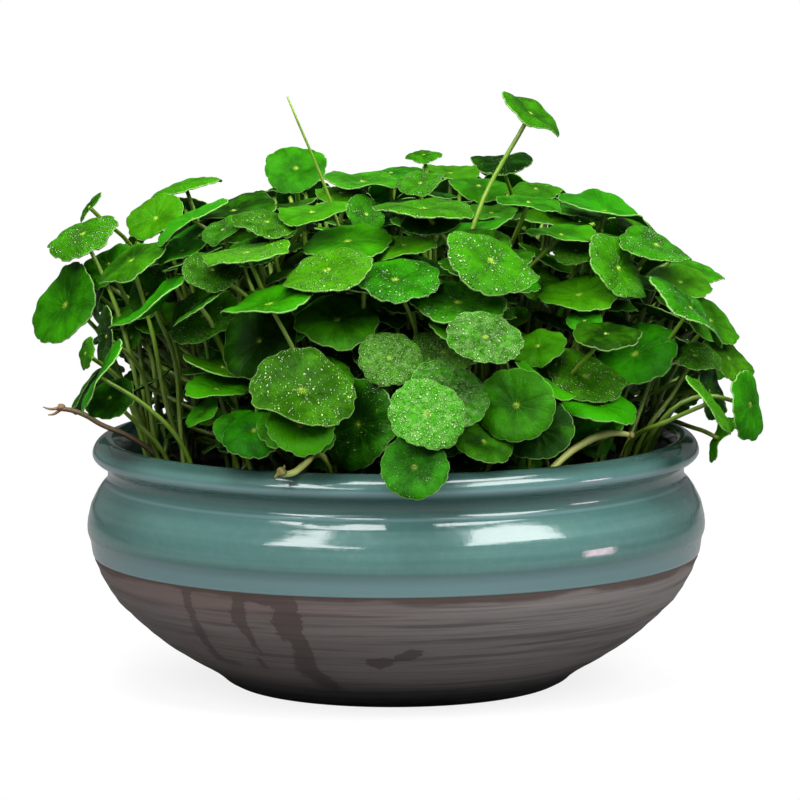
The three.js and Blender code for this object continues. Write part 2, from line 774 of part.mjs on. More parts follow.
let runnerCount = 0;
rootLeaves([...bareStalks, ...allLeaves]).forEach((ring) => {
  groupRoots(ring).forEach((group) => {
    runnerCount += 1;
    const overhang = RUNNER.overhang / ring.radius;
    const places = group.map((root) => root.bearing);
    const bearings = [places.at(0) - overhang, ...places, places.at(-1) + overhang];
    const creeping = new THREE.CatmullRomCurve3(bearings.map((bearing) => rootPoint(ring, bearing)));
    let body = tube(creeping, RUNNER, group.length);
    group.forEach((root) => {
      const route = routeStalk(rootPoint(ring, root.bearing), root.leaf, allLeaves, frontLeaves, stalks);
      stalks.push({ taken: route.points.slice(0, -1), gap: GAP.stalks });
      body = body.add(tube(route.curve, STALK, STALK.steps));
      if (!root.leaf.bare) {
        body = body.add(blade(root.leaf));
      }
    });
    const colour = GREENS[runnerCount % GREENS.length];
    const green = new THREE.MeshStandardMaterial({ color: colour, roughness: 0.45, metalness: 0 });
    const name = `runner_${String(runnerCount).padStart(2, '0')}`;
    addNode(name, body, green, rootPoint(ring, group[0].bearing));
  });
});

export default pennywort;
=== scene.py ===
"""Water pennywort in a glazed stoneware bowl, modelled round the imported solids.

Metres, Z up, the front toward -Y. The solids give each leaf its place, tilt and size and each stalk
its way. The script turns them into crenate, veined leaves on smooth stalks, fills the cushion with
smaller leaves in the shade, and spins the bowl with its rim, groove and throwing rings.
"""
import logging
import math
from dataclasses import dataclass, field
from enum import Enum
from random import Random

import bmesh
import bpy
import numpy as np
from bmesh.types import BMesh, BMVert
from bpy.types import ID, AreaLight, Light, Material, Node, NodeSocket, Object, World
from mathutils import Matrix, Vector


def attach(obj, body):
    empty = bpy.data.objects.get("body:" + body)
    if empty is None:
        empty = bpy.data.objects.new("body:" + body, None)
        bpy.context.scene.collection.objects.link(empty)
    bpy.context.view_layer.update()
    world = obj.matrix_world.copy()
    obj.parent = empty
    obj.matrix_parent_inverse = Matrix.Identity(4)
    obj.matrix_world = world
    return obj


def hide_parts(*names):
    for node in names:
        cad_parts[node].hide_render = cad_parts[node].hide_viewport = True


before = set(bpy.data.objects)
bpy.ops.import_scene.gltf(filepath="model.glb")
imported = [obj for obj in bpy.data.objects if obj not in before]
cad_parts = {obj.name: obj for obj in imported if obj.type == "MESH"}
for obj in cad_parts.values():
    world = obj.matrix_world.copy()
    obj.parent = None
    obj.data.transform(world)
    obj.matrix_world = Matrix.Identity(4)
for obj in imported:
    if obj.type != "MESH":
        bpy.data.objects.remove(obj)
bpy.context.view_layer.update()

LOG = logging.getLogger("pennywort")
MM = 0.001

Colour = tuple[int, int, int]
Span = tuple[float, float]
Pixel = tuple[float, float]
PicturePoint = tuple[float, float, float]
Waves = tuple[tuple[int, float], ...]
WHITE = (1.0, 1.0, 1.0, 1.0)


def linear(colour: Colour) -> tuple[float, float, float, float]:
    """Change a screen colour to the linear one that a shader takes.

    Args:
        colour: Red, green and blue from 0 to 255.

    Returns:
        Linear red, green and blue, and an alpha of 1.
    """
    def channel(value: float) -> float:
        """Undo the screen's curve for one value from 0 to 1."""
        return value / 12.92 if value <= 0.04045 else ((value + 0.055) / 1.055) ** 2.4

    red, green, blue = (channel(value / 255) for value in colour)
    return red, green, blue, 1.0


def smooth_line(points: np.ndarray, steps: int) -> np.ndarray:
    """Draw a smooth curve through points.

    Args:
        points: One row per point.
        steps: How many pieces each span between two points is cut into.

    Returns:
        The points of the curve, from the first point to the last.
    """
    padded = np.vstack([2 * points[0] - points[1], points, 2 * points[-1] - points[-2]])
    curve = []
    for before, start, end, after in zip(padded, padded[1:], padded[2:], padded[3:]):
        for step in range(steps):
            t = step / steps
            curve.append(0.5 * (2 * start + (end - before) * t
                                + (2 * before - 5 * start + 4 * end - after) * t ** 2
                                + (3 * start - before - 3 * end + after) * t ** 3))
    curve.append(points[-1])
    return np.array(curve)


def deselect() -> None:
    """Leave nothing selected, so that an operator acts on new work alone."""
    bpy.ops.object.select_all(action="DESELECT")


def make_active(piece: Object, *others: Object) -> None:
    """Select pieces and make the first one active."""
    deselect()
    for one in (piece, *others):
        one.select_set(True)
    bpy.context.view_layer.objects.active = piece


def apply_modifier(piece: Object, kind: str, **settings: object) -> None:
    """Add one modifier to a piece and apply it.

    Args:
        piece: The object.
        kind: The modifier's type.
        settings: Its values.
    """
    modifier = piece.modifiers.new(kind.title(), kind)
    for name, value in settings.items():
        setattr(modifier, name, value)
    make_active(piece)
    bpy.ops.object.modifier_apply(modifier=modifier.name)


def put_in_scene(name: str, data: ID) -> Object:
    """Put a new object that shows some data into the scene."""
    piece = bpy.data.objects.new(name, data)
    bpy.context.scene.collection.objects.link(piece)
    return piece


def edit_all() -> None:
    """Start to edit the active piece, with all of it selected."""
    bpy.ops.object.mode_set(mode="EDIT")
    bpy.ops.mesh.select_all(action="SELECT")


def close_shell(same_point: float) -> None:
    """Merge the edited piece's doubled points, turn its faces outwards and end the editing."""
    bpy.ops.mesh.select_all(action="SELECT")
    bpy.ops.mesh.remove_doubles(threshold=same_point)
    bpy.ops.mesh.normals_make_consistent(inside=False)
    bpy.ops.object.mode_set(mode="OBJECT")


def fill_circle(rings: list[float], level: float = 0.0) -> None:
    """Fill the selected circle inward, ring by ring, to a point in its middle.

    Args:
        rings: The radii of the rings as shares of the circle's, the largest first.
        level: The circle's height.
    """
    inner = 1.0
    for ring in rings:
        bpy.ops.mesh.extrude_edges_move()
        bpy.ops.transform.resize(value=(ring / inner, ring / inner, 1.0),
                                 center_override=(0, 0, level))
        inner = ring
    bpy.ops.mesh.extrude_edges_move()
    bpy.ops.mesh.merge(type="CENTER")


def join(name: str, pieces: list[Object]) -> Object:
    """Join objects into one and name it.

    Args:
        name: The name of the whole.
        pieces: What it is made of, at least one object.

    Returns:
        The joined object.
    """
    make_active(*pieces)
    if len(pieces) > 1:
        bpy.ops.object.join()
    whole = pieces[0]
    whole.name = name
    whole.data.name = name
    return whole


def coordinates(piece: Object) -> np.ndarray:
    """Read a mesh's points, one row each."""
    values = np.empty(len(piece.data.vertices) * 3)
    piece.data.vertices.foreach_get("co", values)
    return values.reshape(-1, 3)


def polar(points: np.ndarray) -> tuple[np.ndarray, np.ndarray]:
    """How far points are from the upright axis, and their bearings from +X."""
    return np.hypot(points[:, 0], points[:, 1]), np.arctan2(points[:, 1], points[:, 0])


def move_points(piece: Object, points: np.ndarray) -> None:
    """Put a mesh's points at new places."""
    piece.data.vertices.foreach_set("co", np.asarray(points, float).ravel())
    piece.data.update()


def set_attribute(piece: Object, name: str, values: np.ndarray) -> None:
    """Store three numbers for each point of a mesh, for its material to read."""
    attribute = piece.data.attributes.new(name, "FLOAT_VECTOR", "POINT")
    attribute.data.foreach_set("vector", np.asarray(values, float).ravel())


class Side(Enum):
    """The material slots of a leafy piece."""

    TOP = 0
    UNDER = 1
    STALK = 2


class Graph:
    """Builds the nodes of one material, light or world from short calls."""

    OUTPUTS = {Material: "OutputMaterial", Light: "OutputLight", World: "OutputWorld"}

    def __init__(self, owner: Material | Light | World) -> None:
        """Start with no nodes.

        Args:
            owner: What the nodes belong to.
        """
        self.owner = owner
        owner.use_nodes = True
        self.tree = owner.node_tree
        self.tree.nodes.clear()

    @classmethod
    def of_material(cls, name: str) -> "Graph":
        """Start the nodes of a new material."""
        return cls(bpy.data.materials.new(name))

    def node(self, kind: str, settings: dict | None = None, **inputs: object) -> Node:
        """Add a node.

        Args:
            kind: The node's type, without the words ShaderNode.
            settings: Values of the node itself.
            inputs: Values or sockets for its inputs, by name with spaces as underscores.

        Returns:
            The node.
        """
        node = self.tree.nodes.new(f"ShaderNode{kind}")
        for name, value in (settings or {}).items():
            setattr(node, name, value)
        for name, value in inputs.items():
            self.feed(node.inputs[name.replace("_", " ")], value)
        return node

    def feed(self, socket: NodeSocket, value: object) -> None:
        """Give an input a value, or link it to another node's output.

        Args:
            socket: The input.
            value: A value, or another node's output.
        """
        if isinstance(value, NodeSocket):
            self.tree.links.new(value, socket)
        else:
            socket.default_value = value

    def math(self, operation: str, *values: object) -> NodeSocket:
        """Work out one number from others.

        Args:
            operation: The sum's name in Blender.
            values: Numbers or sockets.

        Returns:
            The result.
        """
        node = self.node("Math", {"operation": operation})
        for socket, value in zip(node.inputs, values):
            self.feed(socket, value)
        return node.outputs[0]

    def plus(self, first: object, second: object) -> NodeSocket:
        """Add two numbers."""
        return self.math("ADD", first, second)

    def minus(self, first: object, second: object) -> NodeSocket:
        """Take the second number from the first."""
        return self.math("SUBTRACT", first, second)

    def times(self, first: object, second: object) -> NodeSocket:
        """Multiply two numbers."""
        return self.math("MULTIPLY", first, second)

    def vector(self, operation: str, *values: object) -> NodeSocket:
        """Work out one vector from others.

        Args:
            operation: The sum's name in Blender.
            values: Vectors or sockets.

        Returns:
            The result, one number where the sum gives one.
        """
        node = self.node("VectorMath", {"operation": operation})
        for socket, value in zip(node.inputs, values):
            self.feed(socket, value)
        scalar = operation in ("LENGTH", "DISTANCE", "DOT_PRODUCT")
        return node.outputs["Value" if scalar else "Vector"]

    def ease(self, value: object, low: float, high: float, start: float = 0.0,
             end: float = 1.0) -> NodeSocket:
        """Pass smoothly from start to end while a value goes from low to high."""
        settings = {"interpolation_type": "SMOOTHSTEP"}
        limits = {"From_Min": low, "From_Max": high, "To_Min": start, "To_Max": end}
        return self.node("MapRange", settings, Value=value, **limits).outputs["Result"]

    def blend(self, share: object, first: object, second: object) -> NodeSocket:
        """Mix two colours by a share from 0 to 1.

        Args:
            share: How much of the second shows.
            first: The one below.
            second: The one above.

        Returns:
            The mixed colour.
        """
        node = self.node("Mix", {"data_type": "RGBA"})
        self.feed(node.inputs[0], share)
        self.feed(node.inputs[6], first)
        self.feed(node.inputs[7], second)
        return node.outputs[2]

    def layers(self, ground: Colour, *coats: tuple[object, Colour]) -> NodeSocket:
        """Lay coats of colour over a ground, each by its own share.

        Args:
            ground: The lowest colour.
            coats: Shares and colours, upward.

        Returns:
            The colour of them all.
        """
        colour = linear(ground)
        for share, coat in coats:
            colour = self.blend(share, colour, linear(coat))
        return colour

    def mix(self, share: object, first: Node, second: Node) -> NodeSocket:
        """Mix two shaders by a share from 0 to 1."""
        node = self.node("MixShader", Fac=share)
        self.feed(node.inputs[1], first.outputs[0])
        self.feed(node.inputs[2], second.outputs[0])
        return node.outputs[0]

    def noise(self, place: object, scale: float, detail: float = 2.0,
              roughness: float = 0.5) -> NodeSocket:
        """Smooth noise about 0.5 at a place."""
        node = self.node("TexNoise", Vector=place, Scale=scale, Detail=detail, Roughness=roughness)
        return node.outputs[0]

    def bump(self, height: object, depth: float, strength: float = 1.0,
             normal: object = None) -> NodeSocket:
        """Raise a surface by a height.

        Args:
            height: The height, about 0 to 1.
            depth: How deep that is, in metres.
            strength: How much of it shows.
            normal: The form below it.

        Returns:
            The normal.
        """
        node = self.node("Bump", Height=height, Distance=depth, Strength=strength)
        if normal is not None:
            self.feed(node.inputs["Normal"], normal)
        return node.outputs[0]

    def place(self) -> NodeSocket:
        """The place of a point on the object, in metres."""
        return self.node("TexCoord").outputs["Object"]

    def attribute(self, name: str) -> Node:
        """The three numbers of an attribute, as one separated vector."""
        read = self.node("Attribute", {"attribute_name": name})
        return self.node("SeparateXYZ", Vector=read.outputs["Vector"])

    def surface(self, **inputs: object) -> Node:
        """The main shader."""
        return self.node("BsdfPrincipled", **inputs)

    def finish(self, shader: NodeSocket) -> ID:
        """Connect the last shader and give the nodes' owner back."""
        kind = next(kind for owner, kind in self.OUTPUTS.items() if isinstance(self.owner, owner))
        self.tree.links.new(shader, self.node(kind).inputs["Surface"])
        return self.owner


@dataclass(frozen=True)
class LeafFinish:
    """The green of a blade, with its veins, hub and margin, on one side."""

    name: str
    deep: Colour
    bright: Colour
    vein: Colour
    hub: Colour
    margin: Colour
    roughness: float
    relief: float
    glow: float
    # The colours of the painted glints and of the painted sheen on wet blades.
    glint: Colour = (214, 240, 178)
    painted_sheen: Colour = (140, 186, 104)
    veins: int = 11
    vein_share: float = 0.2
    faint_vein: float = 0.35
    vein_width: float = 0.02
    fork_reach: Span = (0.45, 0.75)
    hub_radius: float = 0.055
    hub_shares: Span = (0.2, 0.65)
    margin_start: float = 0.978
    margin_share: float = 0.7
    sheen_share: float = 0.32
    sheen_wetness: Span = (0.66, 0.95)
    bead_shade_share: float = 1.5
    bead_height: float = 0.6
    bead_sizes: Span = (0.2, 0.46)
    beads_from: float = 0.1
    beads_full: float = 0.6
    # The painted glints: their stretch, their shift from the bead's middle and their strength.
    glint_stretch: Span = (0.9, 2.2)
    glint_shift: Span = (0.08, -0.14)
    glint_share: float = 0.75

    def make(self) -> Material:
        """Build the material.

        Returns:
            The finish. It reads the blade's own UV map, in which the hub is in the middle and the
            rim at 0.5 from it, and the attribute look: tone, hue and wetness.
        """
        graph = Graph.of_material(self.name)
        flat = graph.node("UVMap", {"uv_map": "Blade"}).outputs["UV"]
        centred = graph.vector("SUBTRACT", flat, (0.5, 0.5, 0.0))
        reach = graph.times(graph.vector("LENGTH", centred), 2.0)
        # The look's tone is partly painted light and shade: darker for leaves in shade, brighter for
        # lit ones.
        look = graph.attribute("look")
        tone, hue, wet = look.outputs[0], look.outputs[1], look.outputs[2]
        shift = graph.node("CombineXYZ", X=hue, Y=tone, Z=hue).outputs[0]
        own = graph.vector("ADD", centred, shift)

        vein = self.vein_lines(graph, centred, reach, own)
        green = self.body_colour(graph, own, reach, tone, hue)
        # The veins and hub fade on low-toned blades, so that the painted shade dims them too.
        faint = self.faint_vein * self.vein_share
        clear = graph.times(vein, graph.ease(tone, 0.1, 0.6, faint, self.vein_share))
        star = graph.minus(reach, graph.times(vein, 0.05))
        in_hub = graph.ease(star, self.hub_radius * 1.5, self.hub_radius * 0.2)
        hub = graph.times(in_hub, graph.ease(tone, 0.1, 0.7, *self.hub_shares))
        margin = graph.ease(reach, self.margin_start, 1.0, 0.0, self.margin_share)
        beads, glints = self.beads(graph, own, wet)
        # Painted shade: a dark ring round each bead's edge.
        edge = graph.times(beads, graph.ease(beads, 0.75, 0.35))
        ring = graph.times(edge, self.bead_shade_share)
        # Painted sheen: pale patches over the wettest blades.
        patches = graph.ease(graph.noise(own, 11.0, 5.0, 0.7), 0.4, 0.7, 0.0, self.sheen_share)
        painted_sheen = graph.times(patches, graph.ease(wet, *self.sheen_wetness))
        # Painted highlight: the bead tops turn pale toward the glint colour.
        shine = graph.ease(beads, 0.5, 0.7, 0.0, 0.14)
        for share, coat in ((clear, self.vein), (hub, self.hub), (margin, self.margin),
                            (ring, self.deep), (painted_sheen, self.painted_sheen), (shine, self.glint),
                            (glints, self.glint)):
            green = graph.blend(share, green, linear(coat))

        folds = graph.times(vein, -0.2)
        puckers = graph.plus(graph.noise(own, 24.0, 3.0, 0.6), folds)
        low = graph.bump(puckers, self.relief * MM)
        normal = graph.bump(beads, self.bead_height * MM, normal=low)
        gloss = graph.ease(graph.noise(own, 7.0), 0.3, 0.7, -0.06, 0.1)
        rough = graph.minus(graph.plus(self.roughness, gloss), graph.times(beads, 0.3))
        skin = graph.surface(Base_Color=green, Roughness=rough, Normal=normal, Coat_Weight=beads,
                             Coat_Roughness=0.08, Coat_Normal=normal, Specular_IOR_Level=0.05)
        light = graph.node("BsdfTranslucent", Color=graph.blend(0.5, green, linear(self.bright)))
        return graph.finish(graph.mix(self.glow, skin, light))

    def vein_lines(self, graph: Graph, centred: NodeSocket, reach: NodeSocket,
                   own: NodeSocket) -> NodeSocket:
        """Fine lines from the hub to the lobes, and a fork of each near the rim.

        Args:
            graph: The material's nodes.
            centred: The place on the blade, from the hub.
            reach: The distance from the hub, 1 at the rim.
            own: The place with this blade's own shift.

        Returns:
            1 on a vein and 0 off it.
        """
        split = graph.node("SeparateXYZ", Vector=centred)
        sway = graph.times(graph.minus(graph.noise(own, 3.0), 0.5), 0.5)
        bearing = graph.plus(graph.math("ARCTAN2", split.outputs[1], split.outputs[0]), sway)
        lines = []
        for count, shift, first, last in ((self.veins, 0.0, 0.0, 0.1),
                                          (2 * self.veins, 0.5, *self.fork_reach)):
            turns = graph.math("MULTIPLY_ADD", bearing, count / math.tau, shift)
            off = graph.math("PINGPONG", turns, 0.5)
            gap = graph.times(graph.times(off, reach), math.tau / count)
            line = graph.ease(gap, self.vein_width, 0.2 * self.vein_width)
            lines.append(graph.times(line, graph.ease(reach, first, last)))
        return graph.math("MAXIMUM", *lines)

    def body_colour(self, graph: Graph, own: NodeSocket, reach: NodeSocket, tone: NodeSocket,
                    hue: NodeSocket) -> NodeSocket:
        """The green between the veins, with clouds and this leaf's tone, partly painted light and
        shade.

        Args:
            graph: The material's nodes.
            own: The place with this blade's own shift.
            reach: The distance from the hub, 1 at the rim.
            tone: How bright the blade is.
            hue: How warm it is.

        Returns:
            The colour.
        """
        clouds = graph.ease(graph.noise(own, 3.2, 4.0, 0.6), 0.3, 0.7, -0.2, 0.2)
        outward = graph.ease(reach, 0.2, 1.0, 0.0, 0.1)
        share = graph.plus(graph.plus(tone, clouds), outward)
        green = graph.layers(self.deep, (graph.ease(share, 0.0, 1.0), self.bright))
        warm = graph.node("HueSaturation", Color=green,
                          Hue=graph.math("MULTIPLY_ADD", hue, 0.022, 0.48), Saturation=1.0)
        return warm.outputs[0]

    def beads(self, graph: Graph, own: NodeSocket, wet: NodeSocket) -> tuple[NodeSocket, NodeSocket]:
        """The beads of a moist blade, with their painted glints.

        Args:
            graph: The material's nodes.
            own: The place with this blade's own shift.
            wet: How moist the blade is, from 0 to 1.

        Returns:
            Their height, and how much of their painted glints shows.
        """
        heights, glints = [], []
        for scale, start, share in ((17.0, 0.2, 0.8), (30.0, 0.0, 0.6)):
            beads = graph.node("TexVoronoi", {"voronoi_dimensions": "2D"}, Vector=own, Scale=scale)
            kind = graph.node("SeparateColor", Color=beads.outputs["Color"])
            least, most = self.bead_sizes
            size = graph.math("MULTIPLY_ADD", kind.outputs[1], most - least, least)
            dome = graph.ease(graph.math("DIVIDE", beads.outputs["Distance"], size), 1.0, 0.2)
            patch = graph.plus(graph.ease(graph.noise(own, 4.0), 0.3, 0.7, -0.4, 0.4), wet)
            chosen = graph.ease(graph.minus(patch, kind.outputs[0]), start, start + 0.05)
            heights.append(graph.times(graph.times(dome, chosen), share))
            # Painted glints: a small pale spot beside the middle of some beads.
            off = graph.vector("SUBTRACT", own, beads.outputs["Position"])
            stretch = tuple(side * scale for side in self.glint_stretch)
            aside = graph.vector("MULTIPLY_ADD", off, (*stretch, 0.0), (*self.glint_shift, 0.0))
            fleck = graph.ease(graph.vector("LENGTH", aside), 0.24, 0.12)
            bright = graph.times(graph.ease(kind.outputs[2], 0.62, 0.66), chosen)
            glints.append(graph.times(fleck, bright))
        amount = graph.ease(wet, self.beads_from, self.beads_full)
        glints = graph.times(graph.math("MAXIMUM", *glints), self.glint_share)
        return graph.times(graph.plus(*heights), amount), graph.times(glints, amount)


@dataclass(frozen=True)
class StemFinish:
    """A smooth green stem, darker low down and patchy; low on the leaf stalks the dark is painted
    shade.
    """

    name: str
    low: Colour
    high: Colour
    streak: Colour
    low_height: float
    high_height: float
    roughness: float = 0.38
    glow: float = 0.12
    streak_share: float = 0.55

    def make(self) -> Material:
        """Build the material.

        Returns:
            The finish, which reads the place on the object.
        """
        graph = Graph.of_material(self.name)
        place = graph.place()
        height = graph.node("SeparateXYZ", Vector=place).outputs[2]
        # Darker low down: on the leaf stalks this is painted shade deep in the cushion.
        rise = graph.ease(height, self.low_height * MM, self.high_height * MM)
        along = graph.vector("MULTIPLY", place, (1.0, 1.0, 0.25))
        fibres = graph.noise(along, 1400.0, 2.0)
        patches = graph.ease(graph.noise(place, 60.0, 2.0), 0.45, 0.75, 0.0, self.streak_share)
        colour = graph.layers(self.low, (rise, self.high), (patches, self.streak))
        normal = graph.bump(fibres, 0.03 * MM, 0.6)
        rough = graph.plus(self.roughness, graph.ease(fibres, 0.3, 0.7, -0.05, 0.08))
        skin = graph.surface(Base_Color=colour, Roughness=rough, Normal=normal)
        light = graph.node("BsdfTranslucent", Color=colour)
        return graph.finish(graph.mix(self.glow, skin, light))


@dataclass(frozen=True)
class GlazeFinish:
    """A grey-green glaze, pale on thin edges, dark in hollows, with painted highlights and shade."""

    name: str = "grey_green_glaze"
    thin: Colour = (104, 134, 137)
    middle: Colour = (75, 109, 104)
    pooled: Colour = (60, 95, 92)
    lower: Colour = (94, 122, 125)
    # Painted shade on the rim's top, as under the overhanging leaves.
    painted_rim_shade: Colour = (34, 58, 52)
    lower_band: Span = (0.0622, 0.0600)
    rim_shade_band: Span = (0.0945, 0.0985)
    roughness: float = 0.12

    def make(self) -> Material:
        """Build the material.

        Returns:
            The finish. It reads the attribute form: the profile's bulge and the height.
        """
        graph = Graph.of_material(self.name)
        place = graph.place()
        form = graph.attribute("form")
        bulge, height = form.outputs[0], form.outputs[1]
        rings = graph.noise(graph.vector("MULTIPLY", place, (6.0, 6.0, 260.0)), 1.0, 3.0)
        mottle = graph.noise(place, 320.0, 3.0, 0.6)
        fleck = graph.noise(place, 1500.0, 2.0)
        colour = graph.layers(
            self.middle,
            (graph.ease(rings, 0.35, 0.7, 0.0, 0.7), self.pooled),
            (graph.ease(mottle, 0.35, 0.75, 0.0, 0.1), self.thin),
            (graph.ease(height, *self.lower_band, 0.0, 0.85), self.lower),
            # Pale on edges: thin glaze, and on the rim roll and neck ridge a painted highlight.
            (graph.ease(bulge, 0.15, 0.9, 0.0, 0.8), self.thin),
            (graph.ease(bulge, -0.1, -0.9, 0.0, 0.75), self.pooled),
            # Painted shade: the rim's top darkens as under the overhanging leaves.
            (graph.ease(height, *self.rim_shade_band, 0.0, 0.8), self.painted_rim_shade),
            (graph.ease(fleck, 0.62, 0.8, 0.0, 0.12), self.thin))
        ripple = graph.bump(rings, 0.5 * MM, 0.35)
        normal = graph.bump(graph.noise(place, 900.0, 2.0), 0.05 * MM, 0.5, ripple)
        rough = graph.ease(mottle, 0.3, 0.8, self.roughness - 0.04, self.roughness + 0.1)
        shader = graph.surface(Base_Color=colour, Roughness=rough, Normal=normal, Coat_Weight=0.25,
                               Coat_Roughness=0.06)
        return graph.finish(shader.outputs[0])


@dataclass(frozen=True)
class ClayFinish:
    """Bare grey-brown stoneware with fine throwing lines, damp stains and painted shade at the foot.
    """

    name: str = "bare_clay"
    upper: Colour = (108, 93, 88)
    middle: Colour = (112, 104, 101)
    pale_right: Colour = (132, 128, 125)
    line: Colour = (76, 70, 70)
    # Painted shade toward the foot.
    foot: Colour = (44, 45, 50)
    halo: Colour = (72, 54, 47)
    damp: Colour = (68, 54, 51)
    upper_band: Span = (0.048, 0.036)
    halo_band: Span = (0.0492, 0.0514)
    foot_shade_band: Span = (0.016, 0.001)
    pale_right_span: Span = (-0.07, 0.05)
    roughness: float = 0.6

    def make(self) -> Material:
        """Build the material.

        Returns:
            The finish. It reads the attribute form: the height and the depth in a stain.
        """
        graph = Graph.of_material(self.name)
        place = graph.place()
        form = graph.attribute("form")
        height, stain = form.outputs[1], form.outputs[2]
        fine = graph.noise(graph.vector("MULTIPLY", place, (14.0, 14.0, 1100.0)), 1.0, 3.0, 0.6)
        wide = graph.noise(graph.vector("MULTIPLY", place, (9.0, 9.0, 330.0)), 1.0, 3.0, 0.6)
        grit = graph.noise(place, 1500.0, 3.0, 0.7)
        clouds = graph.noise(graph.vector("MULTIPLY", place, (1.0, 1.0, 3.0)), 38.0, 3.0)
        along = graph.node("SeparateXYZ", Vector=place).outputs[0]
        ragged = graph.ease(graph.noise(place, 420.0, 3.0), 0.2, 0.8, -0.28, 0.28)
        wet = graph.ease(graph.plus(stain, ragged), 0.0, 0.1)
        edge = graph.plus(height, graph.ease(clouds, 0.3, 0.7, -0.0012, 0.0012))
        shade = graph.plus(height, graph.ease(wide, 0.2, 0.8, -0.003, 0.003))
        colour = graph.layers(
            self.upper,
            (graph.ease(height, *self.upper_band), self.middle),
            (graph.ease(clouds, 0.35, 0.65, 0.0, 0.5), self.upper),
            # Paler toward the right side.
            (graph.ease(along, *self.pale_right_span, 0.0, 0.75), self.pale_right),
            (graph.ease(fine, 0.52, 0.36, 0.0, 0.4), self.line),
            (graph.ease(wide, 0.48, 0.34, 0.0, 0.7), self.line),
            (graph.ease(grit, 0.6, 0.75, 0.0, 0.25), self.line),
            (graph.times(wet, 0.75), self.damp),
            (graph.ease(edge, *self.halo_band, 0.0, 0.85), self.halo),
            # Painted shade: the clay darkens to near black toward the foot.
            (graph.ease(shade, *self.foot_shade_band), self.foot))
        low = graph.bump(graph.plus(wide, graph.times(fine, 0.4)), 0.5 * MM, 0.5)
        normal = graph.bump(grit, 0.12 * MM, 0.6, low)
        rough = graph.minus(self.roughness, graph.times(wet, 0.15))
        shader = graph.surface(Base_Color=colour, Roughness=rough, Normal=normal)
        return graph.finish(shader.outputs[0])


@dataclass(frozen=True)
class SoilFinish:
    """Moist, dark potting soil."""

    name: str = "moist_soil"
    dark: Colour = (20, 17, 16)
    brown: Colour = (62, 48, 38)

    def make(self) -> Material:
        """Build the material.

        Returns:
            The finish, which reads the place on the object.
        """
        graph = Graph.of_material(self.name)
        place = graph.place()
        crumbs = graph.node("TexVoronoi", Vector=place, Scale=420.0).outputs["Distance"]
        fine = graph.noise(place, 900.0, 4.0, 0.7)
        share = graph.times(graph.ease(fine, 0.45, 0.75), crumbs)
        colour = graph.layers(self.dark, (share, self.brown))
        normal = graph.bump(graph.plus(fine, crumbs), 1.2 * MM)
        shader = graph.surface(Base_Color=colour, Normal=normal,
                               Roughness=graph.ease(fine, 0.3, 0.7, 0.6, 0.95))
        return graph.finish(shader.outputs[0])


@dataclass(frozen=True)
class FloorFinish:
    """A pale sheet, lit from under it, on which shadows are faint."""

    name: str = "pale_floor"
    pale: Colour = (250, 250, 250)
    cloud: Colour = (247, 248, 249)
    bounce: Colour = (120, 120, 120)
    shadow: float = 0.16
    shadow_reach: Span = (0.10, 0.26)

    def make(self) -> Material:
        """Build the material.

        Returns:
            The finish, which glows white where it is seen and throws little light back.
        """
        graph = Graph.of_material(self.name)
        place = graph.place()
        mottled = graph.layers(self.pale, (graph.noise(place, 3.0), self.cloud))
        sheet = graph.node("BsdfDiffuse", Color=mottled)
        glow = graph.node("Emission", Color=WHITE)
        far = graph.vector("LENGTH", graph.vector("MULTIPLY", place, (1.0, 1.0, 0.0)))
        lit = graph.ease(far, *self.shadow_reach, 1.0 - self.shadow, 1.0)
        seen = graph.mix(lit, sheet, glow).node
        back = graph.node("BsdfDiffuse", Color=linear(self.bounce))
        ray = graph.node("LightPath").outputs["Is Camera Ray"]
        return graph.finish(graph.mix(ray, back, seen))


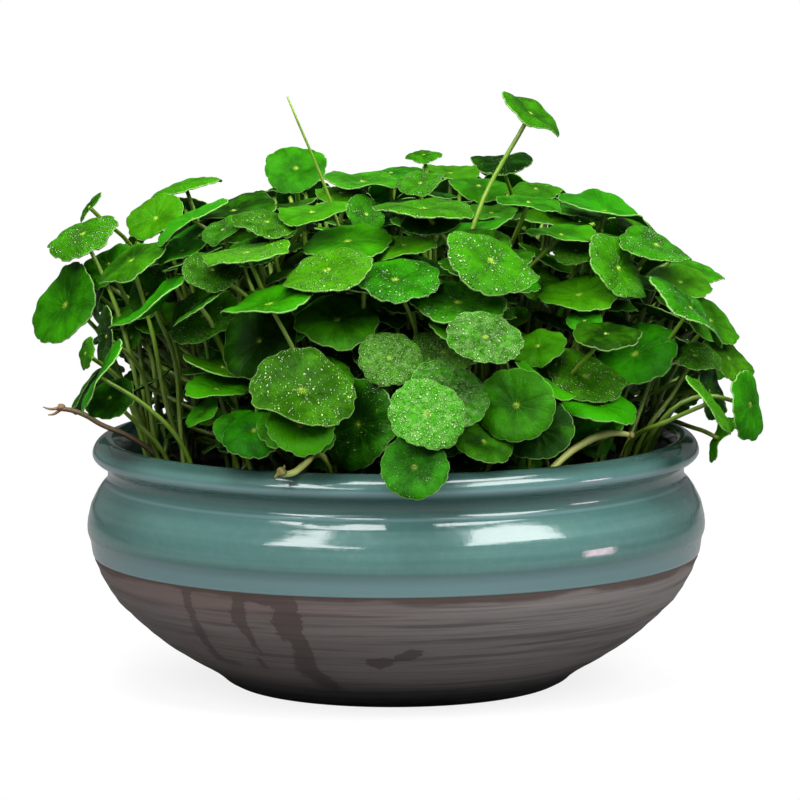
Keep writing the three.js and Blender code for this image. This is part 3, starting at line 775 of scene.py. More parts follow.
@dataclass
class Photograph:
    """The camera, which stands where the photographer did."""

    eye: Vector = field(default_factory=lambda: Vector((1.8, -2265.0, 405.0)) * MM)
    target: Vector = field(default_factory=lambda: Vector((1.8, 0.0, 113.0)) * MM)
    picture: float = 800.0
    pixel: float = 0.4 * MM
    roll: float = 0.0058
    sensor: float = 36.0
    blade_share: float = 0.95

    def build(self) -> None:
        """Add the camera and make it the scene's own."""
        along = self.target - self.eye
        data = bpy.data.cameras.new("camera")
        data.sensor_width = self.sensor
        data.lens = self.sensor * along.length / (self.picture * self.pixel)
        data.clip_end = 20.0
        camera = put_in_scene("camera", data)
        camera.location = self.eye
        camera.rotation_euler = along.to_track_quat("-Z", "Y").to_euler()
        camera.rotation_euler.rotate_axis("Z", -self.roll)
        bpy.context.scene.camera = camera

    @property
    def axes(self) -> tuple[Vector, Vector, Vector]:
        """The camera's own directions, forward, to the right and up, without its roll."""
        forward = (self.target - self.eye).normalized()
        right = Vector((1.0, 0.0, 0.0))
        return forward, right, right.cross(forward)

    def point_at(self, column: float, row: float) -> tuple[float, float, float]:
        """The place in the target's plane that a pixel shows."""
        _, right, upward = self.axes
        over = column - self.picture / 2
        down = row + over * self.roll - self.picture / 2
        return tuple(self.target + (right * over - upward * down) * self.pixel)

    def point_behind(self, column: float, row: float, depth: float) -> Vector:
        """The place that a pixel shows at a depth in millimetres behind the bowl's axis."""
        ray = Vector(self.point_at(column, row)) - self.eye
        return self.eye + ray * ((depth * MM - self.eye.y) / ray.y)

    def pixels_of(self, points: np.ndarray) -> np.ndarray:
        """Where points of the object fall in the picture.

        Args:
            points: Places in metres, one row each.

        Returns:
            A column and row for each, from the picture's upper left corner.
        """
        forward, right, upward = self.axes
        offsets = np.asarray(points, float) - np.array(self.eye)
        away = (self.target - self.eye).length
        scale = away / (offsets @ np.array(forward) * self.pixel)
        columns = self.picture / 2 + offsets @ np.array(right) * scale
        rows = self.picture / 2 - offsets @ np.array(upward) * scale
        return np.stack([columns, rows - (columns - self.picture / 2) * self.roll], 1)

    def crossing(self, blade: "Blade", spots: np.ndarray) -> np.ndarray:
        """Where the sight lines through spots meet a blade.

        Args:
            blade: The blade.
            spots: Places in metres, one row each.

        Returns:
            For each spot, how far along its sight line the blade is, 1 at the spot itself. It is nan
            where the line misses the blade.
        """
        eye, normal, hub = np.array(self.eye), np.array(blade.normal), np.array(blade.hub)
        rays = spots - eye
        share = ((hub - eye) @ normal) / (rays @ normal + 1e-12)
        away = np.linalg.norm(eye + rays * share[:, None] - hub, axis=1)
        return np.where((away < blade.radius * self.blade_share) & (share > 0), share, np.nan)


@dataclass
class SoftBox:
    """One studio light that faces the plant.

    A mirrored one is seen in glossy surfaces alone, and the others light the scene without being
    seen in it. Azimuths are in degrees from the front to the right, and heights in degrees above
    the floor.
    """

    name: str
    azimuth: float
    height: float
    width: float
    tall: float
    power: float
    mirrored: bool = False
    tint: Colour = (255, 255, 255)
    hidden: tuple[float, float, float] | None = None
    distance: float = 1.5
    gap_middle: float = 0.2
    gap_least: float = 0.1
    gap_spread: float = 1.4
    gap_above: float = 0.42
    ragged: float = 0.1

    def build(self, aim: Vector) -> None:
        """Add the light.

        Args:
            aim: The point that it faces.
        """
        around, above = math.radians(self.azimuth), math.radians(self.height)
        out = Vector((math.sin(around), -math.cos(around), 0.0)) * math.cos(above)
        out.z = math.sin(above)
        data = bpy.data.lights.new(self.name, "AREA")
        data.shape = "RECTANGLE" if self.mirrored else "ELLIPSE"
        data.size, data.size_y = self.width, self.tall
        data.energy = self.power
        data.color = linear(self.tint)[:3]
        if self.hidden:
            self.screen(data)
        light = put_in_scene(self.name, data)
        light.visible_glossy = self.mirrored
        light.visible_diffuse = not self.mirrored
        light.visible_transmission = not self.mirrored
        light.location = aim + out * self.distance
        light.rotation_euler = (-out).to_track_quat("-Z", "Y").to_euler()

    def screen(self, data: AreaLight) -> None:
        """Darken a ragged band and one leaf's shape, where foliage hangs before the light.

        Args:
            data: The light.
        """
        graph = Graph(data)
        place = graph.node("NewGeometry").outputs["Parametric"]
        split = graph.node("SeparateXYZ", Vector=place)
        across = graph.math("MULTIPLY_ADD", split.outputs[0], 2.0, -1.0)
        up = graph.math("MULTIPLY_ADD", split.outputs[1], 2.0, -1.0)
        noise = graph.noise(place, 9.0, 4.0, 0.7)
        bow = graph.times(graph.times(across, across), self.gap_spread)
        ragged = graph.ease(noise, 0.3, 0.7, -self.ragged, self.ragged)
        reach = graph.plus(graph.plus(bow, self.gap_least), ragged)
        off = graph.minus(up, self.gap_middle)
        under = graph.minus(graph.times(off, -1.0), reach)
        over = graph.minus(off, graph.times(reach, self.gap_above))
        below, above = graph.ease(under, 0.0, 0.06), graph.ease(over, 0.0, 0.04)
        leaf_across, leaf_up, leaf_radius = self.hidden
        away = graph.vector("DISTANCE", graph.node("CombineXYZ", X=across, Y=up).outputs[0],
                            (leaf_across, leaf_up, 0.0))
        clear = graph.ease(graph.plus(away, ragged), leaf_radius, leaf_radius + 0.1)
        share = graph.times(graph.math("MAXIMUM", below, above), clear)
        graph.finish(graph.node("Emission", Strength=share).outputs[0])


@dataclass
class Studio:
    """The pale floor, the white surroundings and the soft lights."""

    aim: Vector = field(default_factory=lambda: Vector((0.0, 0.0, 0.12)))
    floor_size: float = 60.0
    surroundings: float = 0.17
    boxes: tuple[SoftBox, ...] = (
        SoftBox("mirror_left", -31.0, 43.0, 1.2, 1.25, 52.0, True, hidden=(0.55, -0.25, 0.46),
                gap_middle=0.18),
        SoftBox("mirror_right", 48.0, 46.0, 1.2, 1.06, 45.0, True, hidden=(-0.1, 0.2, 0.1),
                gap_middle=0.31),
        SoftBox("window", 77.0, -4.0, 0.34, 0.36, 4.6, True, (255, 214, 228)),
        SoftBox("fill_left", -32.0, 38.0, 1.0, 0.8, 20.0),
        SoftBox("fill_right", 48.0, 38.0, 1.0, 0.8, 21.0),
        SoftBox("fill_above", 0.0, 74.0, 1.2, 1.0, 34.0),
        SoftBox("fill_behind", 168.0, 32.0, 1.4, 0.9, 14.0),
    )

    def build(self) -> None:
        """Set up the surroundings, the lights and the floor."""
        scene = bpy.context.scene
        scene.view_settings.view_transform = "Standard"
        scene.world = bpy.data.worlds.new("surroundings")
        graph = Graph(scene.world)
        lit = graph.node("Background", Color=WHITE, Strength=self.surroundings)
        seen = graph.node("Background", Color=WHITE, Strength=1.0)
        graph.finish(graph.mix(graph.node("LightPath").outputs["Is Camera Ray"], lit, seen))
        for box in self.boxes:
            box.build(self.aim)
        self.build_floor()

    def build_floor(self) -> None:
        """Lay a wide pale sheet under the foot."""
        deselect()
        bpy.ops.mesh.primitive_plane_add(size=self.floor_size)
        floor = bpy.context.object
        floor.name = "floor"
        floor.data.materials.append(FloorFinish().make())


@dataclass
class Blade:
    """Where one leaf's blade lies, and how it is cupped, saddled and waved."""

    hub: Vector
    normal: Vector
    long: Vector
    radius: float
    cup: float
    saddle: tuple[float, float] = (0.0, 0.0)
    waves: tuple[tuple[int, float, float], ...] = ()
    arch: float = 0.0
    curl: Vector | None = None
    curl_from: float = 0.66
    curl_rise: float = 2.6
    shade: bool = False
    arch_fall: float = 1.35
    inner_ring: float = 0.55

    @property
    def cross(self) -> Vector:
        """The blade's second direction."""
        return self.normal.cross(self.long)

    def heights(self, across: np.ndarray, up: np.ndarray) -> np.ndarray:
        """How far the cupped and waved surface stands over the hub.

        Args:
            across: Places along the long direction, in radii.
            up: Places along the cross direction, in radii.

        Returns:
            The heights, in radii.
        """
        share = across ** 2 + up ** 2
        double_cos, double_sin = across ** 2 - up ** 2, 2 * across * up
        height = self.cup * share + self.saddle[0] * double_cos + self.saddle[1] * double_sin
        height = height + self.arch * share * (1.0 - self.arch_fall * share)
        angle = np.arctan2(up, across)
        for count, swing, turn in self.waves:
            height = height + swing * share * np.sqrt(share) * np.cos(count * angle - turn)
        if self.curl is not None:
            toward = across * self.curl.dot(self.long) + up * self.curl.dot(self.cross)
            height = height + self.curl_rise * np.maximum(toward - self.curl_from, 0.0) ** 2
        return height

    def to_world(self, local: np.ndarray) -> np.ndarray:
        """Bend points of a flat unit blade to this one's place.

        Args:
            local: One row per point, in radii, the hub at the origin.

        Returns:
            The points in metres.
        """
        axes = np.array([self.long, self.cross, self.normal])
        bent = local.copy()
        bent[:, 2] += self.heights(local[:, 0], local[:, 1])
        return np.array(self.hub) + self.radius * bent @ axes

    def samples(self, count: int = 14) -> np.ndarray:
        """Points spread over the blade on two rings and at the hub, in metres."""
        angles = np.linspace(0, math.tau, count, endpoint=False)
        ring = np.stack([np.cos(angles), np.sin(angles), np.zeros(count)], 1)
        return self.to_world(np.vstack([np.zeros((1, 3)), self.inner_ring * ring, ring]))

    def gaps(self, points: np.ndarray) -> np.ndarray:
        """How far points are from the blade.

        Args:
            points: Places in metres, one row each.

        Returns:
            The distances in metres.
        """
        offset = (points - np.array(self.hub)) / self.radius
        across, up = offset @ np.array(self.long), offset @ np.array(self.cross)
        reach = np.hypot(across, up)
        inside = np.minimum(1.0, 1.0 / np.maximum(reach, 1e-9))
        level = offset @ np.array(self.normal) - self.heights(across * inside, up * inside)
        return self.radius * np.hypot(np.maximum(reach - 1.0, 0.0), level)


@dataclass
class Stalk:
    """The way of one stalk, from its root to its blade, in metres."""

    points: list[Vector]


@dataclass
class Growth:
    """What grows from one stretch of creeping stem."""

    name: str
    blades: list[Blade]
    stalks: list[Stalk]
    stem: list[Vector]


@dataclass(eq=False)
class Ring:
    """One ring of vertices round a stalk's tube."""

    verts: set
    middle: Vector


def middle_of(verts: set[BMVert]) -> Vector:
    """The mean place of vertices, summed in the order of their numbers."""
    ordered = sorted(verts, key=lambda vert: vert.index)
    return sum((vert.co for vert in ordered), Vector()) / len(ordered)


@dataclass
class SolidReader:
    """Finds the blades and stalks in a faceted solid of one runner."""

    rim_sides: int = 9
    stalk_sides: int = 3
    thickness: float = 1.1 * MM
    soil_level: float = 84.0 * MM
    stem_height: float = 5.0 * MM
    stem_radius: float = 1.5 * MM
    stem_overhang: float = 4.0 * MM
    stem_dip: float = 2.0 * MM
    hub_reach: float = 3.0 * MM
    section_side: float = 2.3 * MM
    same_point: float = 0.002 * MM
    rim_share: float = 0.8
    round_share: float = 0.5

    def read(self, node: Object) -> Growth:
        """Read one solid.

        Args:
            node: The runner's object.

        Returns:
            Its blades, and its stalks in the same order, with any bare stalks last.
        """
        mesh = bmesh.new()
        mesh.from_mesh(node.data)
        bmesh.ops.remove_doubles(mesh, verts=mesh.verts, dist=self.same_point)
        found = [(vert, rim) for vert in mesh.verts if (rim := self.rim_of(vert))]
        blades = [self.blade(vert, rim) for vert, rim in found]
        stalks = self.stalks(mesh, found)
        mesh.free()
        return Growth(node.name, blades, stalks, self.stem([stalk.points[0] for stalk in stalks]))

    def stem(self, roots: list[Vector]) -> list[Vector]:
        """The creeping stem's way: past its roots, and down into the soil at both ends.

        Args:
            roots: Where the stalks meet it.

        Returns:
            Its points.
        """
        level = self.soil_level + self.stem_radius
        around = sorted(roots, key=lambda root: math.atan2(root.y, root.x))
        flat = [Vector((root.x, root.y, level)) for root in around]
        ends = []
        for root, way in ((flat[0], -1.0), (flat[-1], 1.0)):
            along = Vector((-root.y, root.x, 0.0)).normalized() * way
            ends.append(root + along * self.stem_overhang - Vector((0.0, 0.0, self.stem_dip)))
        return [ends[0], *flat, ends[1]]

    def rim_of(self, vert: BMVert) -> list[BMVert]:
        """Find the rim round a vertex, if it is the middle of a blade's top.

        Args:
            vert: The vertex.

        Returns:
            The rim's vertices, or nothing.
        """
        around = [edge.other_vert(vert) for edge in vert.link_edges]
        if len(around) < self.rim_sides - 1:
            return []
        reach = [(other.co - vert.co).length for other in around]
        rim = [other for other, far in zip(around, reach) if far > self.rim_share * max(reach)]
        if len(rim) < self.rim_sides - 2 or max(reach) < self.hub_reach:
            return []
        points = np.array([other.co for other in rim])
        spread = np.linalg.svd(points - points.mean(0))[1]
        return rim if spread[1] > self.round_share * spread[0] else []

    def blade(self, hub: BMVert, rim: list[BMVert]) -> Blade:
        """Fit a cupped and waved disc to a hub and its rim.

        Args:
            hub: The middle of the blade's top.
            rim: Its rim.

        Returns:
            The disc.
        """
        points = np.array([vert.co for vert in rim])
        middle = points.mean(0)
        outward = sum((face.normal for face in hub.link_faces), Vector())
        normal = np.linalg.svd(points - middle)[2][2]
        normal *= math.copysign(1.0, normal @ np.array(outward))
        long = points[0] - middle
        long -= normal * (long @ normal)
        long /= np.linalg.norm(long)
        cross = np.cross(normal, long)
        across, up = (points - middle) @ long, (points - middle) @ cross
        radius = float(np.hypot(across, up).mean())
        top = np.array(hub.co) - normal * self.thickness / 2
        level = (points - top) @ normal / radius
        angle = np.arctan2(up, across)
        terms = np.stack([np.ones_like(angle), np.cos(2 * angle), np.sin(2 * angle)], 1)
        cup, wave_cos, wave_sin = np.linalg.lstsq(terms, level, rcond=None)[0]
        return Blade(Vector(top), Vector(normal), Vector(long), radius, cup, (wave_cos, wave_sin))

    def stalks(self, mesh: BMesh, found: list[tuple[BMVert, list]]) -> list[Stalk]:
        """Follow each stalk down from its blade by the rings of its tube.

        Args:
            mesh: The solid's mesh.
            found: The middle of each blade's top, with its rim.

        Returns:
            The blades' stalks in their order, then a bare stalk where rings are left over.
        """
        tops = {vert for hub, rim in found for vert in (hub, *rim)}
        collars = [{vert for vert in mesh.verts if vert not in tops
                    and (vert.co - hub.co).length < self.hub_reach} for hub, _ in found]
        taken = tops.union(*collars)
        free = {vert for vert in mesh.verts if vert not in taken and vert.co.z > self.base
                and sum(edge.other_vert(vert) in tops
                        for edge in vert.link_edges) < self.rim_sides // 2}
        rings = self.rings(free)
        ways = [[hub.co - self.thickness / 2 * hub.normal, *self.follow(collar, rings)]
                for (hub, _), collar in zip(found, collars)]
        for way in ways:
            if way[-1].z > self.base and rings:
                near = min(rings, key=lambda ring: (ring.middle - way[-1]).length)
                way += [near.middle, *self.follow(near.verts, rings, near)]
        if rings:
            tip = max(rings, key=lambda ring: ring.middle.z)
            ways.append([tip.middle, *self.follow(tip.verts, rings, tip)])
        return [Stalk(way[::-1]) for way in ways]

    @property
    def base(self) -> float:
        """The height below which the solid is creeping stem."""
        return self.soil_level + self.stem_height

    def rings(self, free: set[BMVert]) -> list[Ring]:
        """Gather a tube's loose vertices into its whole rings, by their short edges.

        Args:
            free: The vertices of tubes.

        Returns:
            The rings.
        """
        rings, seen = [], set()
        for start in sorted(free, key=lambda vert: vert.index):
            ring, queue = set(), [start]
            while queue:
                vert = queue.pop()
                if vert not in ring and vert not in seen:
                    ring.add(vert)
                    queue += [edge.other_vert(vert) for edge in vert.link_edges
                              if edge.calc_length() < self.section_side
                              and edge.other_vert(vert) in free]
            seen |= ring
            if len(ring) == self.stalk_sides:
                rings.append(Ring(ring, middle_of(ring)))
        return rings

    def follow(self, start: set[BMVert], rings: list[Ring],
               first: Ring | None = None) -> list[Vector]:
        """Walk from ring to ring down to the creeping stem.

        Args:
            start: The vertices where the walk begins.
            rings: The tube rings, from which the used ones are taken out.
            first: The ring that the walk begins with, where it begins with one.

        Returns:
            The middles of the rings, downward, and the root on the stem.
        """
        if first in rings:
            rings.remove(first)
        way, current = [], start
        while True:
            near = {edge.other_vert(vert) for vert in current for edge in vert.link_edges}
            ring = next((ring for ring in rings if ring.verts & near), None)
            if ring is None:
                roots = {vert for vert in near if vert.co.z <= self.base}
                return way + [middle_of(roots)] if roots else way
            rings.remove(ring)
            way.append(ring.middle)
            current = ring.verts


@dataclass
class BladeMaster:
    """A flat unit blade with a crenate margin, modelled once for each count of lobes."""

    lobes: int
    notch: float
    points_per_lobe: int = 6
    rings: tuple[float, ...] = (0.965, 0.88, 0.76, 0.6, 0.42, 0.22, 0.08)
    thickness: float = 0.03
    notch_from: float = 0.55
    quilting: float = 0.012
    quilting_full: float = 1.6
    hub_dip: float = 0.015
    hub_width: float = 0.13
    hub_lift: float = 0.2

    def build(self, top: Material, under: Material, stalk: Material) -> Object:
        """Model the blade.

        Args:
            top: The finish of its upper side.
            under: The finish of its lower side.
            stalk: The finish that a joined stalk takes, as the third slot.

        Returns:
            The blade, one unit in radius, its top at height 0.
        """
        sides = self.lobes * self.points_per_lobe
        deselect()
        bpy.ops.mesh.primitive_circle_add(vertices=sides, radius=1.0)
        master = bpy.context.object
        master.name = f"blade_{self.lobes}_lobes"
        edit_all()
        fill_circle(self.rings)
        bpy.ops.mesh.select_all(action="SELECT")
        bpy.ops.mesh.normals_make_consistent(inside=False)
        bpy.ops.object.mode_set(mode="OBJECT")
        self.shape_margin(master)
        self.map_flat(master)
        self.give_thickness(master)
        for material in (top, under, stalk):
            master.data.materials.append(material)
        return master

    def shape_margin(self, master: Object) -> None:
        """Pull the notches in, quilt the blade between its veins and sink the hub.

        Args:
            master: The flat blade.
        """
        points = coordinates(master)
        reach, angle = polar(points)
        phase = np.cos(self.lobes * angle)
        near_rim = np.clip((reach - self.notch_from) / (1.0 - self.notch_from), 0.0, 1.0) ** 2
        notched = np.maximum(phase, 0.0) ** 2
        points[:, :2] *= (1.0 - self.notch * near_rim * notched)[:, None]
        points[:, 2] -= self.quilting * phase * np.clip(reach * self.quilting_full, 0.0, 1.0)
        points[:, 2] -= self.hub_dip * np.exp(-(reach / self.hub_width) ** 2)
        points[:, 2] += self.hub_dip * self.hub_lift
        move_points(master, points)

    def map_flat(self, master: Object) -> None:
        """Lay the blade's own UV map flat, the hub in the middle and the rim at 0.5 from it.

        Args:
            master: The blade.
        """
        layer = master.data.uv_layers.new(name="Blade")
        points = coordinates(master)
        reach, angle = polar(points)
        reach = np.maximum(reach, 1e-6)
        rim = 1.0 - self.notch * np.maximum(np.cos(self.lobes * angle), 0.0) ** 2
        stretch = np.where(reach > 0.6, 1.0 / rim, 1.0)
        flat = 0.5 + 0.5 * points[:, :2] * np.minimum(stretch, 1.0 / reach)[:, None]
        corners = np.array([loop.vertex_index for loop in master.data.loops])
        layer.data.foreach_set("uv", flat[corners].ravel())

    def give_thickness(self, master: Object) -> None:
        """Turn the sheet into a thin closed blade with a lower side of its own slot.

        Args:
            master: The sheet.
        """
        if master.data.polygons[0].normal.z < 0:
            master.data.flip_normals()
        apply_modifier(master, "SOLIDIFY", thickness=self.thickness, offset=-1.0,
                       material_offset=Side.UNDER.value, material_offset_rim=0)
        make_active(master)
        bpy.ops.object.shade_smooth()


@dataclass
class Stems:
    """Draws stems as round tubes along smooth curves."""

    radius: float = 0.88 * MM
    root_radius: float = 1.05 * MM
    stem_radius: float = 1.5 * MM
    tip_share: float = 0.5
    same_point: float = 0.01 * MM
    detail: int = 5

    def tubes(self, name: str, ways: list[list[Vector]], radii: list[tuple[float, ...]],
              material: Material, roundness: int = 1) -> Object:
        """Model several stems as one mesh.

        Args:
            name: The object's name.
            ways: The points of each stem.
            radii: Radii of each stem, evenly spaced from its first point to its last.
            material: The finish.
            roundness: How finely the section is cut.

        Returns:
            The mesh object, with closed ends.
        """
        data = bpy.data.curves.new(name, "CURVE")
        data.dimensions = "3D"
        data.bevel_depth = 1.0
        data.bevel_resolution = roundness
        data.resolution_u = self.detail
        data.use_fill_caps = True
        for points, widths in zip(ways, radii):
            spline = data.splines.new("BEZIER")
            spline.bezier_points.add(len(points) - 1)
            for place, (knot, point) in enumerate(zip(spline.bezier_points, points)):
                along = place / (len(points) - 1) * (len(widths) - 1)
                knot.co = point
                knot.radius = float(np.interp(along, range(len(widths)), widths))
                knot.handle_left_type = knot.handle_right_type = "AUTO"
        make_active(put_in_scene(name, data))
        bpy.ops.object.convert(target="MESH")
        piece = bpy.context.object
        make_active(piece)
        edit_all()
        close_shell(self.same_point)
        bpy.ops.object.shade_smooth()
        piece.data.materials.clear()
        piece.data.materials.append(material)
        return piece


@dataclass(frozen=True)
class Zone:
    """One part of the cushion that shade leaves fill.

    Bearings go round from +X in degrees, heights go up from the cushion's foot, and reaches are
    shares of the cushion's own reach in that direction.
    """

    leaves: int
    bearings: Span
    heights: Span
    reaches: Span
    radii: Span


@dataclass
class Undergrowth:
    """The smaller leaves in the shade, which grow from the same creeping stems.

    Zone leaves are placed by chance, and hole leaves where the light would fall through. The outline
    is the foliage's in the picture. Open places are a column, a row and a radius that stay bare, and
    stem windows are boxes of the picture whose stalks stay in sight.
    """

    photograph: Photograph
    growths: list[Growth]
    chance: Random
    middle: Vector = field(default_factory=lambda: Vector((0.0, 0.0, 100.0)) * MM)
    half_size: Vector = field(default_factory=lambda: Vector((150.0, 128.0, 108.0)) * MM)
    zones: tuple[Zone, ...] = (
        Zone(44, (15, 165), (4, 60), (0.84, 0.97), (10.0, 16.0)),
        Zone(60, (170, 370), (8, 80), (0.80, 0.95), (10.0, 17.0)),
        Zone(16, (0, 360), (55, 90), (0.76, 0.90), (11.0, 16.0)),
        Zone(70, (180, 360), (2, 70), (0.55, 0.84), (9.0, 15.0)),
        Zone(36, (0, 180), (2, 70), (0.50, 0.82), (9.0, 15.0)),
        Zone(40, (0, 360), (-6, 10), (0.45, 0.80), (7.0, 12.0)),
        Zone(24, (0, 360), (10, 80), (0.25, 0.55), (9.0, 14.0)),
    )
    tries: int = 60
    stalk_tries: int = 5
    depth_slack: float = 0.0006
    hidden_spots: int = 1
    seen_spots: int = 20
    seen_steps: int = 8
    seen_end: int = 3
    open_turns: int = 6
    hole_step: int = 5
    hole_tries: int = 36
    hole_radii: Span = (13.0, 5.0)
    hole_radius_spread: Span = (0.85, 1.15)
    hole_depths: Span = (-50.0, 110.0)
    hole_cups: Span = (-0.1, 0.1)
    stalk_sight: float = 1.6 * MM
    stalk_steps: int = 6
    stalk_end: int = 4
    gap: float = 1.3 * MM
    stalk_gap: float = 0.9 * MM
    soil_gap: float = 92.0 * MM
    plan_reach: float = 0.96
    turn_back: float = 15.0 * MM
    hole_facing: tuple[float, float, float] = (0.5, 0.75, 0.6)
    hole_tilt: float = 0.4
    zone_tilt: float = 0.45
    zone_lean: float = 0.75
    zone_waves: Waves = ((2, 0.08), (3, 0.05))
    cups: Span = (-0.12, 0.16)
    arches: Span = (0.05, 0.3)
    root_shares: Span = (0.45, 0.8)
    root_stray: float = 8.0
    knee_lean: float = 0.35
    knee_height: float = 0.5
    neck_reach: float = 0.75
    neck_drop: float = 0.22
    rim_height: float = 103.0 * MM
    rim_radius: float = 103.0 * MM
    outline: tuple[Pixel, ...] = (
        (104, 434), (86, 420), (93, 395), (102, 372), (94, 345), (92, 300), (100, 275), (112, 250),
        (135, 225), (160, 200), (190, 194), (240, 196), (275, 186), (330, 176), (420, 166),
        (490, 162), (540, 182), (600, 200), (645, 226), (680, 250), (708, 272), (704, 300),
        (728, 335), (742, 362), (727, 376), (724, 402), (708, 410), (698, 424), (684, 440),
        (640, 458), (520, 476), (400, 480), (280, 476), (180, 464), (130, 450),
    )
    open_places: tuple[tuple[float, float, float], ...] = (
        (115, 366, 9), (155, 379, 5), (145, 341, 4),
    )
    stem_windows: tuple[tuple[float, float, float, float], ...] = (
        (100, 345, 215, 470), (620, 400, 712, 470),
    )

    def __post_init__(self) -> None:
        """Gather the blades that are there, the open places and what the photograph shows."""
        self.blades = [blade for growth in self.growths for blade in growth.blades]
        self.points = [blade.samples() for blade in self.blades]
        self.corners = np.array(self.outline)
        self.open_spots = np.array([
            self.photograph.point_at(column + size * math.cos(turn), row + size * math.sin(turn))
            for column, row, size in self.open_places for turn in range(self.open_turns)])
        self.seen = self.seen_points()

    def fill(self) -> None:
        """Grow the shade leaves, each clear of all that is there."""
        grown = 0
        for zone in self.zones:
            for _ in range(zone.leaves):
                grown += self.grow_one(zone)
        filled = self.close_holes()
        LOG.info("undergrowth: %d shade leaves, %d of them against gaps", grown + filled, filled)

    def seen_points(self) -> np.ndarray:
        """Gather the solids' spots that the photograph shows, on blades and open stalks.

        Returns:
            Places in metres, one row each.
        """
        spots = np.vstack([blade.samples(self.seen_spots) for blade in self.blades])
        ways = np.vstack([smooth_line(np.array(stalk.points), self.seen_steps)[:-self.seen_end]
                          for growth in self.growths for stalk in growth.stalks])
        columns, rows = self.photograph.pixels_of(ways).T
        framed = np.zeros(len(ways), bool)
        for left, top, right, bottom in self.stem_windows:
            framed |= (columns > left) & (columns < right) & (rows > top) & (rows < bottom)
        spots = np.vstack([spots, ways[framed]])
        seen = np.ones(len(spots), bool)
        for blade in self.blades:
            seen &= ~self.covers(blade, spots)
        return spots[seen]

    def covers(self, blade: Blade, spots: np.ndarray) -> np.ndarray:
        """Which points a blade hides from the camera."""
        return self.photograph.crossing(blade, spots) < 1.0 - self.depth_slack

    def crosses(self, blade: Blade, spots: np.ndarray) -> np.ndarray:
        """Which points' sight lines a blade stops, before or behind them."""
        return ~np.isnan(self.photograph.crossing(blade, spots))

    def inside_outline(self, pixels: np.ndarray) -> np.ndarray:
        """Tell which points of the picture lie inside the foliage's outline.

        Args:
            pixels: A column and row for each point.

        Returns:
            Whether each is inside.
        """
        columns, rows = pixels[:, 0, None], pixels[:, 1, None]
        (x, y), (next_x, next_y) = self.corners.T, np.roll(self.corners, -1, axis=0).T
        spans = (y > rows) != (next_y > rows)
        run = np.where(spans, next_y - y, 1.0)
        meets = columns < x + (next_x - x) * (rows - y) / run
        return (spans & meets).sum(axis=1) % 2 == 1

    def close_holes(self) -> int:
        """Grow leaves deep inside wherever the camera would look straight through the plant.

        Returns:
            How many leaves were grown.
        """
        low, high = self.corners.min(0), self.corners.max(0)
        step = self.hole_step
        grid = np.mgrid[low[0]:high[0]:step, low[1]:high[1]:step].reshape(2, -1).T
        grid = grid[self.inside_outline(grid)]
        apart = np.array([np.hypot(grid[:, 0] - column, grid[:, 1] - row) - size
                          for column, row, size in self.open_places]).min(0)
        grid = grid[apart > step / 2]
        targets = np.array([self.photograph.point_at(column, row) for column, row in grid])
        shut = np.zeros(len(targets), bool)
        for blade in self.blades:
            shut |= self.crosses(blade, targets)
        grown = 0
        for place, (column, row) in enumerate(grid):
            for used in range(0 if shut[place] else self.hole_tries):
                blade = self.hole_blade(column, row, used / self.hole_tries)
                if self.has_room(blade) and self.root(blade):
                    shut |= self.crosses(blade, targets)
                    grown += 1
                    break
        return grown

    def hole_blade(self, column: float, row: float, share: float) -> Blade:
        """Draw a blade that stands across the camera's sight of a place.

        Args:
            column: The place's column in the picture.
            row: Its row.
            share: How many of the tries are used up, from 0 to 1. The later ones are smaller.

        Returns:
            The blade.
        """
        hub = self.photograph.point_behind(column, row, self.chance.uniform(*self.hole_depths))
        tilt = Vector(self.chance.uniform(-self.hole_tilt, self.hole_tilt) for _ in range(3))
        across, along, up = self.hole_facing
        outward = Vector((across * hub.x / self.half_size.x,
                          math.copysign(along, hub.y - self.turn_back), up))
        normal = (outward + tilt).normalized()
        largest, smallest = self.hole_radii
        radius = largest + share * (smallest - largest)
        radius = radius * self.chance.uniform(*self.hole_radius_spread) * MM
        return Blade(hub, normal, normal.cross(Vector((0.0, 0.0, 1.0))).normalized(), radius,
                     self.chance.uniform(*self.hole_cups), shade=True)

    def grow_one(self, zone: Zone) -> bool:
        """Try places in a zone until one has room for a leaf and its stalk.

        Args:
            zone: The part of the cushion.

        Returns:
            Whether a leaf was grown.
        """
        for _ in range(self.tries):
            blade = self.propose(zone)
            if self.has_room(blade) and self.root(blade):
                return True
        return False

    def root(self, blade: Blade) -> bool:
        """Give a blade a stalk from a creeping stem, if one finds a clear way.

        Args:
            blade: The blade.

        Returns:
            Whether the blade was rooted and is now part of the plant.
        """
        for _ in range(self.stalk_tries):
            growth, way = self.stalk_for(blade)
            if self.stalk_is_clear(way, blade):
                growth.blades.append(blade)
                growth.stalks.insert(len(growth.blades) - 1, Stalk(way))
                self.blades.append(blade)
                self.points.append(blade.samples())
                return True
        return False

